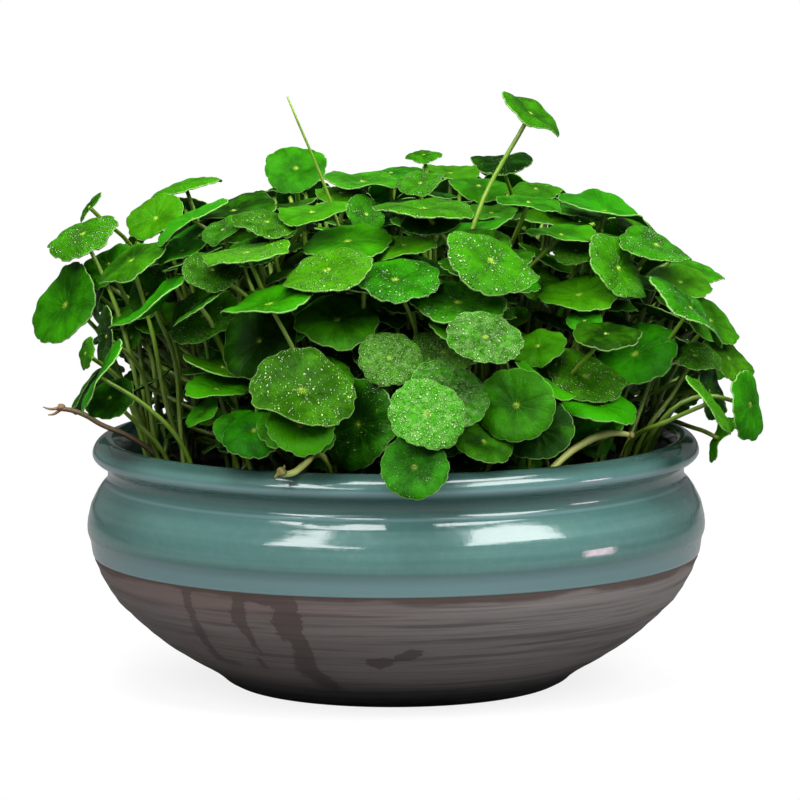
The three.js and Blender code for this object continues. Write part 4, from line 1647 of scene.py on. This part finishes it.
    def propose(self, zone: Zone) -> Blade:
        """Draw a blade somewhere in a zone.

        Args:
            zone: The part of the cushion.

        Returns:
            The blade.
        """
        bearing = math.radians(self.chance.uniform(*zone.bearings))
        height = math.radians(self.chance.uniform(*zone.heights))
        reach = self.chance.uniform(*zone.reaches)
        out = Vector((math.cos(bearing) * math.cos(height), math.sin(bearing) * math.cos(height),
                      math.sin(height)))
        hub = self.middle + Vector(a * b for a, b in zip(out, self.half_size)) * reach
        tilt = Vector(self.chance.uniform(-self.zone_tilt, self.zone_tilt) for _ in range(3))
        normal = (out * self.zone_lean + Vector((0.0, 0.0, self.zone_lean)) + tilt).normalized()
        long = normal.cross(Vector((0.0, 0.0, 1.0)) + tilt).normalized()
        radius = self.chance.uniform(*zone.radii) * MM
        waves = tuple((count, self.chance.uniform(0, swing), self.chance.uniform(0, math.tau))
                      for count, swing in self.zone_waves)
        return Blade(hub, normal, long, radius, self.chance.uniform(*self.cups), waves=waves,
                     arch=self.chance.uniform(*self.arches), shade=True)

    def has_room(self, blade: Blade) -> bool:
        """Test a blade against the bowl, the soil, the open places and all other blades.

        Args:
            blade: The blade.

        Returns:
            Whether it is clear of all that is there.
        """
        points = blade.samples()
        if points[:, 2].min() < self.soil_gap:
            return False
        over, back = blade.hub.x / self.half_size.x, blade.hub.y / self.half_size.y
        if math.hypot(over, back) > self.plan_reach:
            return False
        across = np.hypot(points[:, 0], points[:, 1])
        if ((across > self.rim_radius) & (points[:, 2] < self.rim_height)).any():
            return False
        if not self.inside_outline(self.photograph.pixels_of(points)).all():
            return False
        if self.crosses(blade, self.open_spots).any():
            return False
        if self.covers(blade, self.seen).sum() > self.hidden_spots:
            return False
        for other, spots in zip(self.blades, self.points):
            if (other.hub - blade.hub).length > other.radius + blade.radius + self.gap:
                continue
            if other.gaps(points).min() < self.gap or blade.gaps(spots).min() < self.gap:
                return False
        return True

    def stalk_for(self, blade: Blade) -> tuple[Growth, list[Vector]]:
        """Draw a stalk for a blade from a creeping stem that lies under it.

        Args:
            blade: The blade.

        Returns:
            What it grows from, and the stalk's points.
        """
        share = self.chance.uniform(*self.root_shares)
        ideal = Vector((blade.hub.x * share, blade.hub.y * share, self.growths[0].stem[1].z))
        reach = self.chance.uniform(0.0, self.root_stray) * MM
        around = self.chance.uniform(0, math.tau)
        ideal += Vector((math.cos(around), math.sin(around), 0.0)) * reach
        growth = min(self.growths,
                     key=lambda one: min((point - ideal).length for point in one.stem[1:-1]))
        along = self.chance.random()
        first, last = growth.stem[1], growth.stem[-2]
        root = first.lerp(last, along) if len(growth.stem) == 4 else min(
            growth.stem[1:-1], key=lambda point: (point - ideal).length)
        rise = blade.hub.z - root.z
        lean = (blade.hub - root) * self.knee_lean
        knee = Vector((root.x + lean.x, root.y + lean.y, root.z + rise * self.knee_height))
        neck = blade.hub - blade.normal * self.neck_drop * rise * 0.5
        neck.x = 0.5 * (neck.x + knee.x + (blade.hub.x - knee.x) * self.neck_reach)
        neck.y = 0.5 * (neck.y + knee.y + (blade.hub.y - knee.y) * self.neck_reach)
        return growth, [root, knee, neck, blade.hub.copy()]

    def stalk_hides(self, line: np.ndarray) -> int:
        """Count the seen points that a stalk passes in front of.

        Args:
            line: The stalk's points, one row each.

        Returns:
            The count.
        """
        eye = np.array(self.photograph.eye)
        away = line - eye
        depth = np.linalg.norm(away, axis=1)
        rays = self.seen - eye
        far = np.linalg.norm(rays, axis=1)
        cosine = (rays / far[:, None]) @ (away / depth[:, None]).T
        apart = np.sqrt(np.maximum(1.0 - cosine ** 2, 0.0)) * far[:, None]
        hidden = (apart < self.stalk_sight) & (far[:, None] > depth[None, :])
        return int(hidden.any(axis=1).sum())

    def stalk_is_clear(self, way: list[Vector], own: Blade) -> bool:
        """Test a stalk against the blades and what the photograph shows.

        Args:
            way: The stalk's points.
            own: The blade it carries.

        Returns:
            Whether it keeps off every other blade.
        """
        line = smooth_line(np.array(way), self.stalk_steps)
        if self.stalk_hides(line) > self.hidden_spots:
            return False
        for other in self.blades:
            if other.gaps(line).min() < self.stalk_gap:
                return False
        return own.gaps(line[:-self.stalk_end]).min() > self.stalk_gap


@dataclass(frozen=True)
class LeafLook:
    """How one leaf looks beside its neighbours."""

    tone: float
    hue: float
    wet: float


@dataclass
class LeafLooks:
    """Picks each leaf's look by where it is in the picture, and by chance elsewhere."""

    photograph: Photograph
    soaked: tuple[Pixel, ...] = (
        (427, 414), (450, 392), (486, 337), (446, 348), (390, 357),
    )
    moist: tuple[Pixel, ...] = (
        (303, 388), (330, 360), (328, 270), (396, 274), (492, 261), (591, 374), (624, 265),
        (657, 246), (691, 308), (247, 251), (212, 270), (200, 314), (142, 291), (421, 180),
        (367, 211), (223, 228), (268, 221), (580, 247), (699, 355), (84, 235),
    )
    # Painted shade and light: leaves near these places take a darker, dimmer or brighter tone.
    shaded: tuple[Pixel, ...] = (
        (354, 424), (540, 428), (466, 463), (380, 306), (607, 333), (716, 391), (107, 398),
        (100, 335), (503, 160), (232, 204), (330, 360), (256, 338),
    )
    dim: tuple[Pixel, ...] = (
        (414, 466), (517, 404), (303, 388), (131, 260), (485, 441), (459, 297), (297, 168),
    )
    bright: tuple[Pixel, ...] = (
        (583, 287), (604, 403), (214, 385), (192, 218), (427, 414), (545, 381), (247, 251),
        (300, 425),
    )
    near: float = 7.0
    middle_tone: float = 0.52
    tone_spread: float = 0.12
    brighter: float = 0.3
    dimmer: float = 0.1
    darker: float = 0.38
    # Shade leaves take low tones: painted shade deep in the cushion.
    shade_tones: Span = (0.15, 0.5)
    shade_wetness: Span = (-0.4, 0.4)
    dry_wetness: Span = (-0.3, 0.45)
    moist_wetness: Span = (0.5, 0.7)
    soaked_wetness: Span = (0.85, 1.0)

    def of(self, blade: Blade, chance: Random) -> LeafLook:
        """Pick a blade's look.

        Args:
            blade: The blade.
            chance: The source of the differences that the picture doesn't settle.

        Returns:
            Its tone from dark to bright, partly painted light and shade, its hue and wetness.
        """
        if blade.shade:
            return LeafLook(chance.uniform(*self.shade_tones), chance.random(),
                            max(0.0, chance.uniform(*self.shade_wetness)))
        spot = self.photograph.pixels_of([blade.hub])[0]
        tone = self.middle_tone + chance.uniform(-self.tone_spread, self.tone_spread)
        for shift, places in ((self.brighter, self.bright), (-self.dimmer, self.dim),
                              (-self.darker, self.shaded)):
            tone += shift * self.among(spot, places)
        wetness = self.moist_wetness if self.among(spot, self.moist) else self.dry_wetness
        wet = max(0.0, chance.uniform(*wetness))
        if self.among(spot, self.soaked):
            wet = chance.uniform(*self.soaked_wetness)
        return LeafLook(tone, chance.random(), wet)

    def among(self, spot: np.ndarray, places: tuple[Pixel, ...]) -> bool:
        """Whether a spot of the picture is near one of the places."""
        return any(math.hypot(spot[0] - x, spot[1] - y) < self.near for x, y in places)


@dataclass
class Foliage:
    """All the leaves and stalks of the plant.

    Kinds of blade are a count of lobes and the depth of their notches in radii, and waves are a
    count and a height in radii. A curled blade is a place in the picture and the way of its curl.
    """

    photograph: Photograph
    seed: int = 11
    blade_gap: float = 0.6 * MM
    rim_inside: float = 106.0 * MM
    rim_top: float = 101.0 * MM
    tucks: tuple[float, ...] = (0.0, 5.0, 10.0, 15.0, 20.0, 25.0, 30.0, 36.0, 42.0)
    curled: tuple[tuple[Pixel, Pixel], ...] = (
        ((303, 388), (-0.35, 1.0)), ((492, 261), (0.8, 0.6)), ((142, 291), (0.2, 1.0)),
    )
    waves: Waves = ((2, 0.07), (3, 0.08), (5, 0.045), (7, 0.025))
    outline_waves: Waves = ((1, 0.02), (2, 0.02), (3, 0.025), (5, 0.012))
    arches: Span = (0.12, 0.3)
    wave_shares: Span = (0.3, 1.0)
    swings: tuple[float, ...] = (1.0, 0.75, 0.5, 0.25)
    neighbour_gap: float = 4.0 * MM
    stalk_steps: int = 6
    stalk_end: int = 4
    tuck_cost: float = 0.1
    block_cost: int = 4
    kinds: tuple[tuple[int, float], ...] = (
        (9, 0.06), (10, 0.05), (11, 0.06), (12, 0.045), (13, 0.04),
    )
    shade_kinds: tuple[tuple[int, float], ...] = ((10, 0.05), (11, 0.06), (12, 0.045))
    shade_points: int = 4
    shade_rings: tuple[float, ...] = (0.94, 0.7, 0.4, 0.12)
    reader: SolidReader = field(default_factory=SolidReader)
    stems: Stems = field(default_factory=Stems)

    def __post_init__(self) -> None:
        """Make the finishes, the masters and the source of chance."""
        self.chance = Random(self.seed)
        self.looks = LeafLooks(self.photograph)
        top = LeafFinish("leaf_top", (4, 38, 0), (40, 128, 2), (64, 134, 18), (170, 200, 60),
                         (146, 192, 104), roughness=0.42, relief=0.4, glow=0.12)
        under = LeafFinish("leaf_under", (34, 88, 4), (84, 142, 20), (90, 140, 40),
                           (120, 160, 40), (120, 170, 60), roughness=0.5, relief=0.8, glow=0.15)
        # The stalks darken from 170 mm down to 88 mm: painted shade inside the cushion.
        stalk = StemFinish("stalk", (84, 112, 26), (116, 156, 40), (140, 164, 74), 88.0, 170.0)
        self.materials = {Side.TOP: top.make(), Side.UNDER: under.make(), Side.STALK: stalk.make()}
        finishes = tuple(self.materials.values())
        self.masters = [BladeMaster(*kind).build(*finishes) for kind in self.kinds]
        self.shade_masters = [
            BladeMaster(*kind, self.shade_points, self.shade_rings).build(*finishes)
            for kind in self.shade_kinds]

    def soften(self, blades: list[Blade]) -> None:
        """Give each blade an arch and waves of its own, as far as its neighbours leave room.

        Args:
            blades: All the blades of the solids.
        """
        for blade in blades:
            others = [other for other in blades if other is not blade
                      and (other.hub - blade.hub).length
                      < other.radius + blade.radius + self.neighbour_gap]
            for swing in self.swings:
                blade.arch = swing * self.chance.uniform(*self.arches)
                blade.waves = tuple(
                    (count, swing * self.chance.uniform(*self.wave_shares) * height,
                     self.chance.uniform(0, math.tau)) for count, height in self.waves)
                points = blade.samples()
                if all(other.gaps(points).min() > self.blade_gap
                       and blade.gaps(other.samples()).min() > self.blade_gap for other in others):
                    break
            else:
                blade.arch, blade.waves = 0.0, ()

    def curl_edges(self, blades: list[Blade]) -> None:
        """Turn up the margin of the blades that show it so, toward a direction in the picture.

        Args:
            blades: All the blades of the solids.
        """
        for (column, row), (over, down) in self.curled:
            spots = self.photograph.pixels_of([blade.hub for blade in blades])
            blade = blades[int(np.hypot(spots[:, 0] - column, spots[:, 1] - row).argmin())]
            toward = Vector((over, 0.0, -down))
            blade.curl = (toward - blade.normal * toward.dot(blade.normal)).normalized()

    def tuck_stalks(self, growths: list[Growth]) -> None:
        """Draw stalks back behind the blades that hide them, where there is room.

        Args:
            growths: All that grows.
        """
        blades = [blade for growth in growths for blade in growth.blades]
        for growth in growths:
            for stalk, own in zip(growth.stalks, growth.blades):
                others = [blade for blade in blades if blade is not own]
                ways = [self.drawn_back(stalk, shift) for shift in self.tucks]
                costs = [self.show_cost(way, others) + place * self.tuck_cost
                         for place, way in enumerate(ways)]
                stalk.points = ways[int(np.argmin(costs))]

    def drawn_back(self, stalk: Stalk, shift: float) -> list[Vector]:
        """A stalk's points with the ones between its ends moved back by millimetres."""
        first, *between, last = stalk.points
        return [first, *(point + Vector((0.0, shift * MM, 0.0)) for point in between), last]

    def show_cost(self, way: list[Vector], others: list[Blade]) -> float:
        """Weigh how much of a stalk shows before other blades, or meets them or the rim.

        Args:
            way: The stalk's points.
            others: The blades it doesn't carry.

        Returns:
            The cost, higher where it meets something.
        """
        line = smooth_line(np.array(way), self.stalk_steps)[:-self.stalk_end]
        shown = np.zeros(len(line), bool)
        blocked = (np.hypot(line[:, 0], line[:, 1]) > self.rim_inside) & (line[:, 2] < self.rim_top)
        for other in others:
            shown |= self.photograph.crossing(other, line) > 1.0
            blocked |= other.gaps(line) < self.blade_gap
        return float(shown.sum() + self.block_cost * blocked.sum())

    def leaf(self, blade: Blade, name: str) -> Object:
        """Copy a master blade and bend it to its place.

        Args:
            blade: The place.
            name: The copy's name.

        Returns:
            The bent copy.
        """
        look = self.looks.of(blade, self.chance)
        master = self.chance.choice(self.shade_masters if blade.shade else self.masters)
        piece = put_in_scene(name, master.data.copy())
        local = coordinates(piece)
        turn = self.chance.uniform(0.0, math.tau)
        spun = local.copy()
        spun[:, 0] = local[:, 0] * math.cos(turn) - local[:, 1] * math.sin(turn)
        spun[:, 1] = local[:, 0] * math.sin(turn) + local[:, 1] * math.cos(turn)
        reach, angle = polar(spun)
        outline = np.ones_like(angle)
        for count, swing in self.outline_waves:
            swing *= self.chance.uniform(-1, 1)
            outline += swing * np.cos(count * (angle - self.chance.uniform(0, math.tau)))
        spun[:, :2] *= (1.0 + (outline - 1.0) * reach)[:, None]
        move_points(piece, blade.to_world(spun))
        set_attribute(piece, "look", np.tile((look.tone, look.hue, look.wet), (len(local), 1)))
        return piece

    def grow(self, name: str, growth: Growth) -> Object:
        """Model one runner's leaves, stalks and creeping stem as one piece.

        Args:
            name: The piece's name.
            growth: Its blades, stalks and stem.

        Returns:
            The piece.
        """
        ways = [*(stalk.points for stalk in growth.stalks), growth.stem]
        leafy, bare = len(growth.blades), len(growth.stalks) - len(growth.blades)
        radii = [(self.stems.root_radius, self.stems.radius)] * leafy
        tip = self.stems.tip_share * self.stems.radius
        radii += [(self.stems.root_radius, self.stems.radius, tip)] * bare
        radii.append((self.stems.stem_radius, self.stems.stem_radius))
        tubes = self.stems.tubes(f"{name}_stems", ways, radii, self.materials[Side.STALK])
        return join(name, [*(self.leaf(blade, f"{name}_blade") for blade in growth.blades), tubes])

    def build(self) -> list[Object]:
        """Replace each runner's solid by its fine piece.

        Returns:
            The pieces.
        """
        names = sorted(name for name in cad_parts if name.startswith("runner_"))
        growths = [self.reader.read(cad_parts[name]) for name in names]
        blades = [blade for growth in growths for blade in growth.blades]
        self.curl_edges(blades)
        self.soften(blades)
        self.tuck_stalks(growths)
        Undergrowth(self.photograph, growths, self.chance).fill()
        pieces = []
        for growth in growths:
            piece = self.grow(f"{growth.name}_plant", growth)
            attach(piece, "root")
            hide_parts(growth.name)
            pieces.append(piece)
        for master in (*self.masters, *self.shade_masters):
            bpy.data.objects.remove(master)
        return pieces


@dataclass
class Bowl:
    """The thrown bowl: foot, belly, shoulder, groove and rolled rim, with its wall inside.

    Profiles are radii and heights in millimetres. Edges and hollows are a radius, a height, a width
    and a weight. Stains are runs of points on the clay: degrees to the right of the front, a height
    and a half width.
    """

    outside: tuple[tuple[float, float], ...] = (
        (62.0, 0.0), (64.0, 0.0), (65.8, 0.5), (68.3, 1.8), (69.6, 2.7), (74.8, 6.8), (81.7, 10.7),
        (91.6, 16.9), (100.0, 23.4), (106.4, 29.3), (112.1, 35.0), (116.4, 41.4), (119.5, 47.7),
        (121.1, 52.1), (121.6, 52.9), (121.9, 54.6), (122.2, 57.0), (122.7, 59.2), (123.2, 60.6),
        (123.6, 62.4), (123.7, 64.5), (123.2, 68.0), (122.4, 71.5), (121.2, 74.5), (119.6, 77.5),
        (117.8, 80.3), (116.3, 81.9), (115.5, 83.2), (115.3, 84.8), (115.5, 86.6), (116.9, 88.8),
        (119.5, 90.2), (121.2, 92.2), (121.0, 94.9), (119.3, 97.6), (116.6, 99.3), (113.6, 99.2),
        (111.4, 97.2),
    )
    inside: tuple[tuple[float, float], ...] = (
        (109.6, 93.0), (108.6, 88.0), (108.4, 84.0), (112.6, 76.0), (115.8, 70.0), (116.2, 60.0),
        (112.6, 46.0), (104.8, 35.0), (86.0, 20.0), (62.0, 9.6), (58.0, 9.2),
    )
    base: tuple[tuple[float, float], ...] = ((0.0, 0.0), (30.0, 0.0))
    floor: tuple[tuple[float, float], ...] = ((30.0, 9.0), (0.0, 9.0))
    segments: int = 176
    steps: int = 3
    same_point: float = 0.02 * MM
    thrown_radius: float = 66.0
    thrown_heights: Span = (1.5, 82.0)
    wide_rings: Span = (1.15, 0.6)
    narrow_rings: Span = (2.35, 0.5)
    narrow_share: float = 0.7
    outer_radius: float = 60.0
    glaze_line: float = 52.5
    glaze_ring: float = 0.035
    clay_ring: float = 0.12
    # Edges thin the glaze, and the rim roll and neck ridge also take a painted highlight.
    edges: tuple[tuple[float, float, float, float], ...] = (
        (121.3, 91.9, 1.9, 1.0), (116.4, 81.8, 1.0, 0.8), (121.6, 53.0, 0.7, 0.9),
    )
    hollows: tuple[tuple[float, float, float, float], ...] = (
        (115.4, 86.0, 2.2, -0.7), (118.6, 79.2, 1.6, -0.5),
    )
    stains: tuple[tuple[tuple[float, float, float], ...], ...] = (
        ((-41.9, 52.5, 2.6), (-43.5, 38.2, 2.5), (-43.4, 34.7, 3.0), (-44.9, 28.2, 2.3),
         (-45.8, 22.6, 2.8)),
        ((-29.4, 52.5, 2.6), (-31.7, 40.9, 3.8), (-30.6, 37.2, 1.8), (-31.6, 26.2, 1.9),
         (-32.5, 18.5, 1.7)),
        ((-26.5, 50.0, 1.6), (-20.6, 50.5, 4.6), (-21.1, 43.0, 6.6), (-21.0, 37.8, 6.0),
         (-19.8, 33.9, 3.8), (-20.2, 26.4, 4.2), (-21.3, 19.7, 4.9), (-18.0, 12.0, 4.0)),
        ((-6.7, 24.3, 1.2), (-3.6, 23.4, 2.8), (-0.3, 24.8, 1.2)),
        ((0.6, 26.7, 1.6), (2.7, 27.6, 3.0), (5.3, 28.9, 1.6)),
        ((-45.8, 22.6, 1.5), (-47.0, 20.0, 1.2), (-40.0, 19.0, 1.3)),
    )

    def build(self) -> Object:
        """Spin the bowl from its profile and dress it.

        Returns:
            The bowl, one closed piece.
        """
        curves = [smooth_line(np.array(side), self.steps) for side in (self.outside, self.inside)]
        profile = np.vstack([self.base, *curves, self.floor])
        bowl = self.spin(profile * MM)
        self.throw(bowl)
        self.dress(bowl)
        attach(bowl, "root")
        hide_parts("bowl")
        return bowl

    def spin(self, profile: np.ndarray) -> Object:
        """Extrude the profile from one vertex and spin it round the axis.

        Args:
            profile: Radii and heights in metres.

        Returns:
            The bare bowl.
        """
        deselect()
        bpy.ops.mesh.primitive_plane_add(size=0.01)
        bowl = bpy.context.object
        bowl.name = "bowl_stoneware"
        edit_all()
        bpy.ops.mesh.merge(type="CENTER")
        for (radius, height), (next_radius, next_height) in zip(profile, profile[1:]):
            step = (next_radius - radius, 0.0, next_height - height)
            bpy.ops.mesh.extrude_region_move(TRANSFORM_OT_translate={"value": step})
        bpy.ops.mesh.select_all(action="SELECT")
        bpy.ops.mesh.spin(steps=self.segments, angle=math.tau, center=(0, 0, 0), axis=(0, 0, 1))
        close_shell(self.same_point)
        return bowl

    def throw(self, bowl: Object) -> None:
        """Add the shallow rings that the potter's fingers left, a little uneven all round.

        Args:
            bowl: The spun bowl.
        """
        points = coordinates(bowl)
        reach, angle = polar(points)
        radius, height = reach / MM, points[:, 2] / MM
        low, high = self.thrown_heights
        outer = (radius > self.thrown_radius) & (height > low) & (height < high)
        (wide, wide_sway), (narrow, narrow_sway) = self.wide_rings, self.narrow_rings
        swing = (np.sin(height * wide + wide_sway * np.sin(angle)) + self.narrow_share
                 * np.sin(height * narrow + 1.0 + narrow_sway * np.cos(angle)))
        depth = np.where(height > self.glaze_line, self.glaze_ring, self.clay_ring)
        scale = 1.0 + np.where(outer, depth * swing, 0.0) / np.maximum(radius, 1.0)
        points[:, :2] *= scale[:, None]
        move_points(bowl, points)

    def dress(self, bowl: Object) -> None:
        """Give the bowl its glaze above the glaze line, its clay below, and their attribute.

        Args:
            bowl: The thrown bowl.
        """
        for finish in (GlazeFinish(), ClayFinish()):
            bowl.data.materials.append(finish.make())
        for face in bowl.data.polygons:
            outer = (face.center.xy.length > self.outer_radius * MM
                     and face.normal.xy.dot(face.center.xy) > 0) or face.center.z < self.same_point
            face.material_index = int(outer and face.center.z < self.glaze_line * MM)
        points = coordinates(bowl)
        azimuth = np.degrees(np.arctan2(points[:, 0], -points[:, 1]))
        height = points[:, 2] / MM
        radius = np.hypot(points[:, 0], points[:, 1]) / MM
        bulge = self.bulge(radius, height)
        stain = self.stain_depth(azimuth, height, radius)
        set_attribute(bowl, "form", np.stack([bulge, points[:, 2], stain], 1))
        make_active(bowl)
        bpy.ops.object.shade_smooth()

    def bulge(self, radius: np.ndarray, height: np.ndarray) -> np.ndarray:
        """Tell edges from hollows on the profile.

        Args:
            radius: Radii in millimetres.
            height: Heights in millimetres.

        Returns:
            Up to 1 on an edge, for thin glaze and a painted highlight, and down to -1 in a hollow.
        """
        total = np.zeros_like(radius)
        for across, up, width, weight in (*self.edges, *self.hollows):
            total += weight * np.exp(-((radius - across) ** 2 + (height - up) ** 2) / width ** 2)
        return total

    def stain_depth(self, azimuth: np.ndarray, height: np.ndarray, radius: np.ndarray) -> np.ndarray:
        """Measure how deep in a damp stain each point lies.

        Args:
            azimuth: Degrees to the right of the front.
            height: Heights in millimetres.
            radius: Radii in millimetres.

        Returns:
            For each point, 1 on a stain's middle line and 0 at its edge.
        """
        deepest = np.full_like(height, -1.0)
        for stain in self.stains:
            for (turn, up, width), (next_turn, next_up, next_width) in zip(stain, stain[1:]):
                across = np.radians(azimuth - turn) * radius
                run = np.radians(next_turn - turn) * radius
                rise = next_up - up
                share = (across * run + (height - up) * rise) / (run ** 2 + rise ** 2)
                share = np.clip(share, 0.0, 1.0)
                distance = np.hypot(across - share * run, height - up - share * rise)
                half = width + share * (next_width - width)
                deepest = np.maximum(deepest, 1.0 - distance / half)
        return deepest


@dataclass
class Soil:
    """The uneven surface of the potting soil inside the rim."""

    radius: float = 107.4 * MM
    level: float = 84.0 * MM
    depth: float = 6.0 * MM
    sides: int = 96
    rings: int = 24
    lumps: float = 0.7 * MM
    small_lumps: Span = (410.0, 377.0)
    large_lumps: Span = (190.0, 233.0)
    level_edge: float = 0.98

    def build(self) -> Object:
        """Model the soil as a low, rough disc that replaces its solid.

        Returns:
            The soil.
        """
        deselect()
        bpy.ops.mesh.primitive_circle_add(vertices=self.sides, radius=self.radius,
                                          fill_type="NOTHING", location=(0, 0, self.level))
        soil = bpy.context.object
        bpy.ops.object.transform_apply(location=True)
        edit_all()
        fill_circle([1.0 - step / self.rings for step in range(1, self.rings)], self.level)
        bpy.ops.object.mode_set(mode="OBJECT")
        points = coordinates(soil)
        across, along = points[:, 0], points[:, 1]
        small = np.sin(across * self.small_lumps[0]) * np.sin(along * self.small_lumps[1])
        large = np.sin(across * self.large_lumps[0] + 1) * np.cos(along * self.large_lumps[1])
        inside = np.hypot(across, along) < self.level_edge * self.radius
        points[:, 2] += self.lumps * (small + large) * inside
        move_points(soil, points)
        if soil.data.polygons[0].normal.z < 0:
            soil.data.flip_normals()
        apply_modifier(soil, "SOLIDIFY", thickness=self.depth, offset=-1.0)
        soil.name = "soil_surface"
        soil.data.materials.append(SoilFinish().make())
        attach(soil, "root")
        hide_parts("soil")
        return soil


@dataclass
class LooseRunner:
    """A bare runner that stands clear of the leaves, with a cut or torn end.

    Its way and its stubs are given as columns and rows of the picture, with millimetres behind the
    bowl's axis, from the loose end to the soil. Radii are in millimetres too.
    """

    node: str
    way: tuple[PicturePoint, ...]
    radii: tuple[float, ...]
    finish: StemFinish
    end_finish: StemFinish
    end_size: tuple[float, float, float]
    end_place: PicturePoint
    stubs: tuple[tuple[PicturePoint, ...], ...] = ()
    stub_radii: tuple[float, ...] = (0.75, 0.5, 0.22)
    sides: int = 18
    dent: float = 0.55
    dent_width: float = 0.5
    lumps: float = 0.1

    def build(self, photograph: Photograph) -> Object:
        """Model the runner and put it in the place of its solid.

        Args:
            photograph: The camera that its way is given for.

        Returns:
            The piece.
        """
        stems = Stems(detail=8)
        line = [photograph.point_behind(*point) for point in self.way]
        radii = [tuple(radius * MM for radius in self.radii)]
        tube = stems.tubes(f"{self.node}_stem", [line], radii, self.finish.make(), 3)
        end_material = self.end_finish.make()
        swelling = photograph.point_behind(*self.end_place)
        parts = [tube, self.end(swelling, line[0] - line[1], end_material)]
        ways = [[photograph.point_behind(*point) for point in stub] for stub in self.stubs]
        if ways:
            radii = [tuple(radius * MM for radius in self.stub_radii)] * len(ways)
            parts.append(stems.tubes(f"{self.node}_stubs", ways, radii, end_material, 2))
        piece = join(f"{self.node}_piece", parts)
        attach(piece, "root")
        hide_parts(self.node)
        return piece

    def end(self, middle: Vector, outward: Vector, material: Material) -> Object:
        """Model the swollen end, hollowed where it was cut.

        Args:
            middle: The middle of the swelling.
            outward: The way that the cut faces.
            material: The finish.

        Returns:
            The end.
        """
        deselect()
        bpy.ops.mesh.primitive_uv_sphere_add(segments=self.sides, ring_count=self.sides // 2,
                                             radius=1.0)
        end = bpy.context.object
        points = coordinates(end)
        away, angle = polar(points)
        hollow = np.exp(-(away / self.dent_width) ** 2)
        points[:, 2] -= self.dent * np.where(points[:, 2] > 0, hollow, 0.0)
        points[:, :2] *= (1.0 + self.lumps * np.cos(3 * angle + 1.0) * away)[:, None]
        turn = np.array(outward.to_track_quat("Z", "Y").to_matrix())
        move_points(end, np.array(middle) + (points * np.array(self.end_size) * MM) @ turn.T)
        make_active(end)
        bpy.ops.object.shade_smooth()
        end.data.materials.append(material)
        return end


def loose_runners() -> tuple[LooseRunner, ...]:
    """The three loose runners, with their finishes."""
    pale = StemFinish("pale_runner", (172, 188, 78), (204, 212, 122), (150, 160, 70), 88.0, 102.0)
    brown = StemFinish("old_runner", (58, 52, 26), (84, 66, 38), (46, 36, 22), 90.0, 112.0, 0.6, 0.0)
    cut = StemFinish("cut_end", (98, 98, 40), (134, 126, 62), (52, 46, 20), 92.0, 108.0, 0.6, 0.0)
    torn = StemFinish("torn_end", (88, 66, 40), (120, 92, 60), (52, 38, 24), 92.0, 108.0, 0.7, 0.0)
    return (
        LooseRunner("loose_runner_front",
                    ((283, 474, -118), (292, 473, -115), (302, 466, -110), (315, 455, -101),
                     (324, 458, -91), (329, 472, -80), (331, 487, -75)),
                    (1.2, 1.25, 1.3, 1.2, 1.2, 1.2, 1.2), pale, cut, (2.2, 1.8, 1.9),
                    (281, 472, -118.5),
                    (((278, 474, -119), (275, 477, -120), (274, 479, -119)),
                     ((282, 470, -118), (284, 467, -117), (284, 465, -116)))),
        LooseRunner("loose_runner_right",
                    ((630, 435, -60), (617, 433, -62), (602, 435, -65), (579, 446, -69),
                     (562, 459, -72), (548, 474, -75), (541, 490, -76)),
                    (1.0, 1.25, 1.6, 1.5, 1.35, 1.3, 1.3), pale, cut, (1.5, 1.3, 1.6),
                    (631, 435, -60)),
        LooseRunner("loose_runner_left",
                    ((58, 409, -7), (70, 410, -8), (85, 415, -9), (100, 424, -9), (128, 436, -10),
                     (152, 452, -11), (169, 471, -12)),
                    (0.8, 1.0, 1.1, 1.0, 1.1, 1.2, 1.3), brown, torn, (1.5, 1.3, 1.9),
                    (61, 407, -7),
                    (((60, 408, -7), (50, 409, -6.5), (43, 407, -6)),
                     ((61, 409, -7), (54, 414, -6.5), (48, 415, -6)))),
    )


def main() -> None:
    """Build the scene piece by piece and report each one."""
    logging.basicConfig(level=logging.INFO, format="%(message)s")
    photograph = Photograph()
    photograph.build()
    Studio().build()
    pieces = [Bowl().build(), Soil().build()]
    pieces += Foliage(photograph).build()
    pieces += [runner.build(photograph) for runner in loose_runners()]
    for piece in pieces:
        LOG.info("%s: %d faces", piece.name, len(piece.data.polygons))


if __name__ == "__main__":
    main()
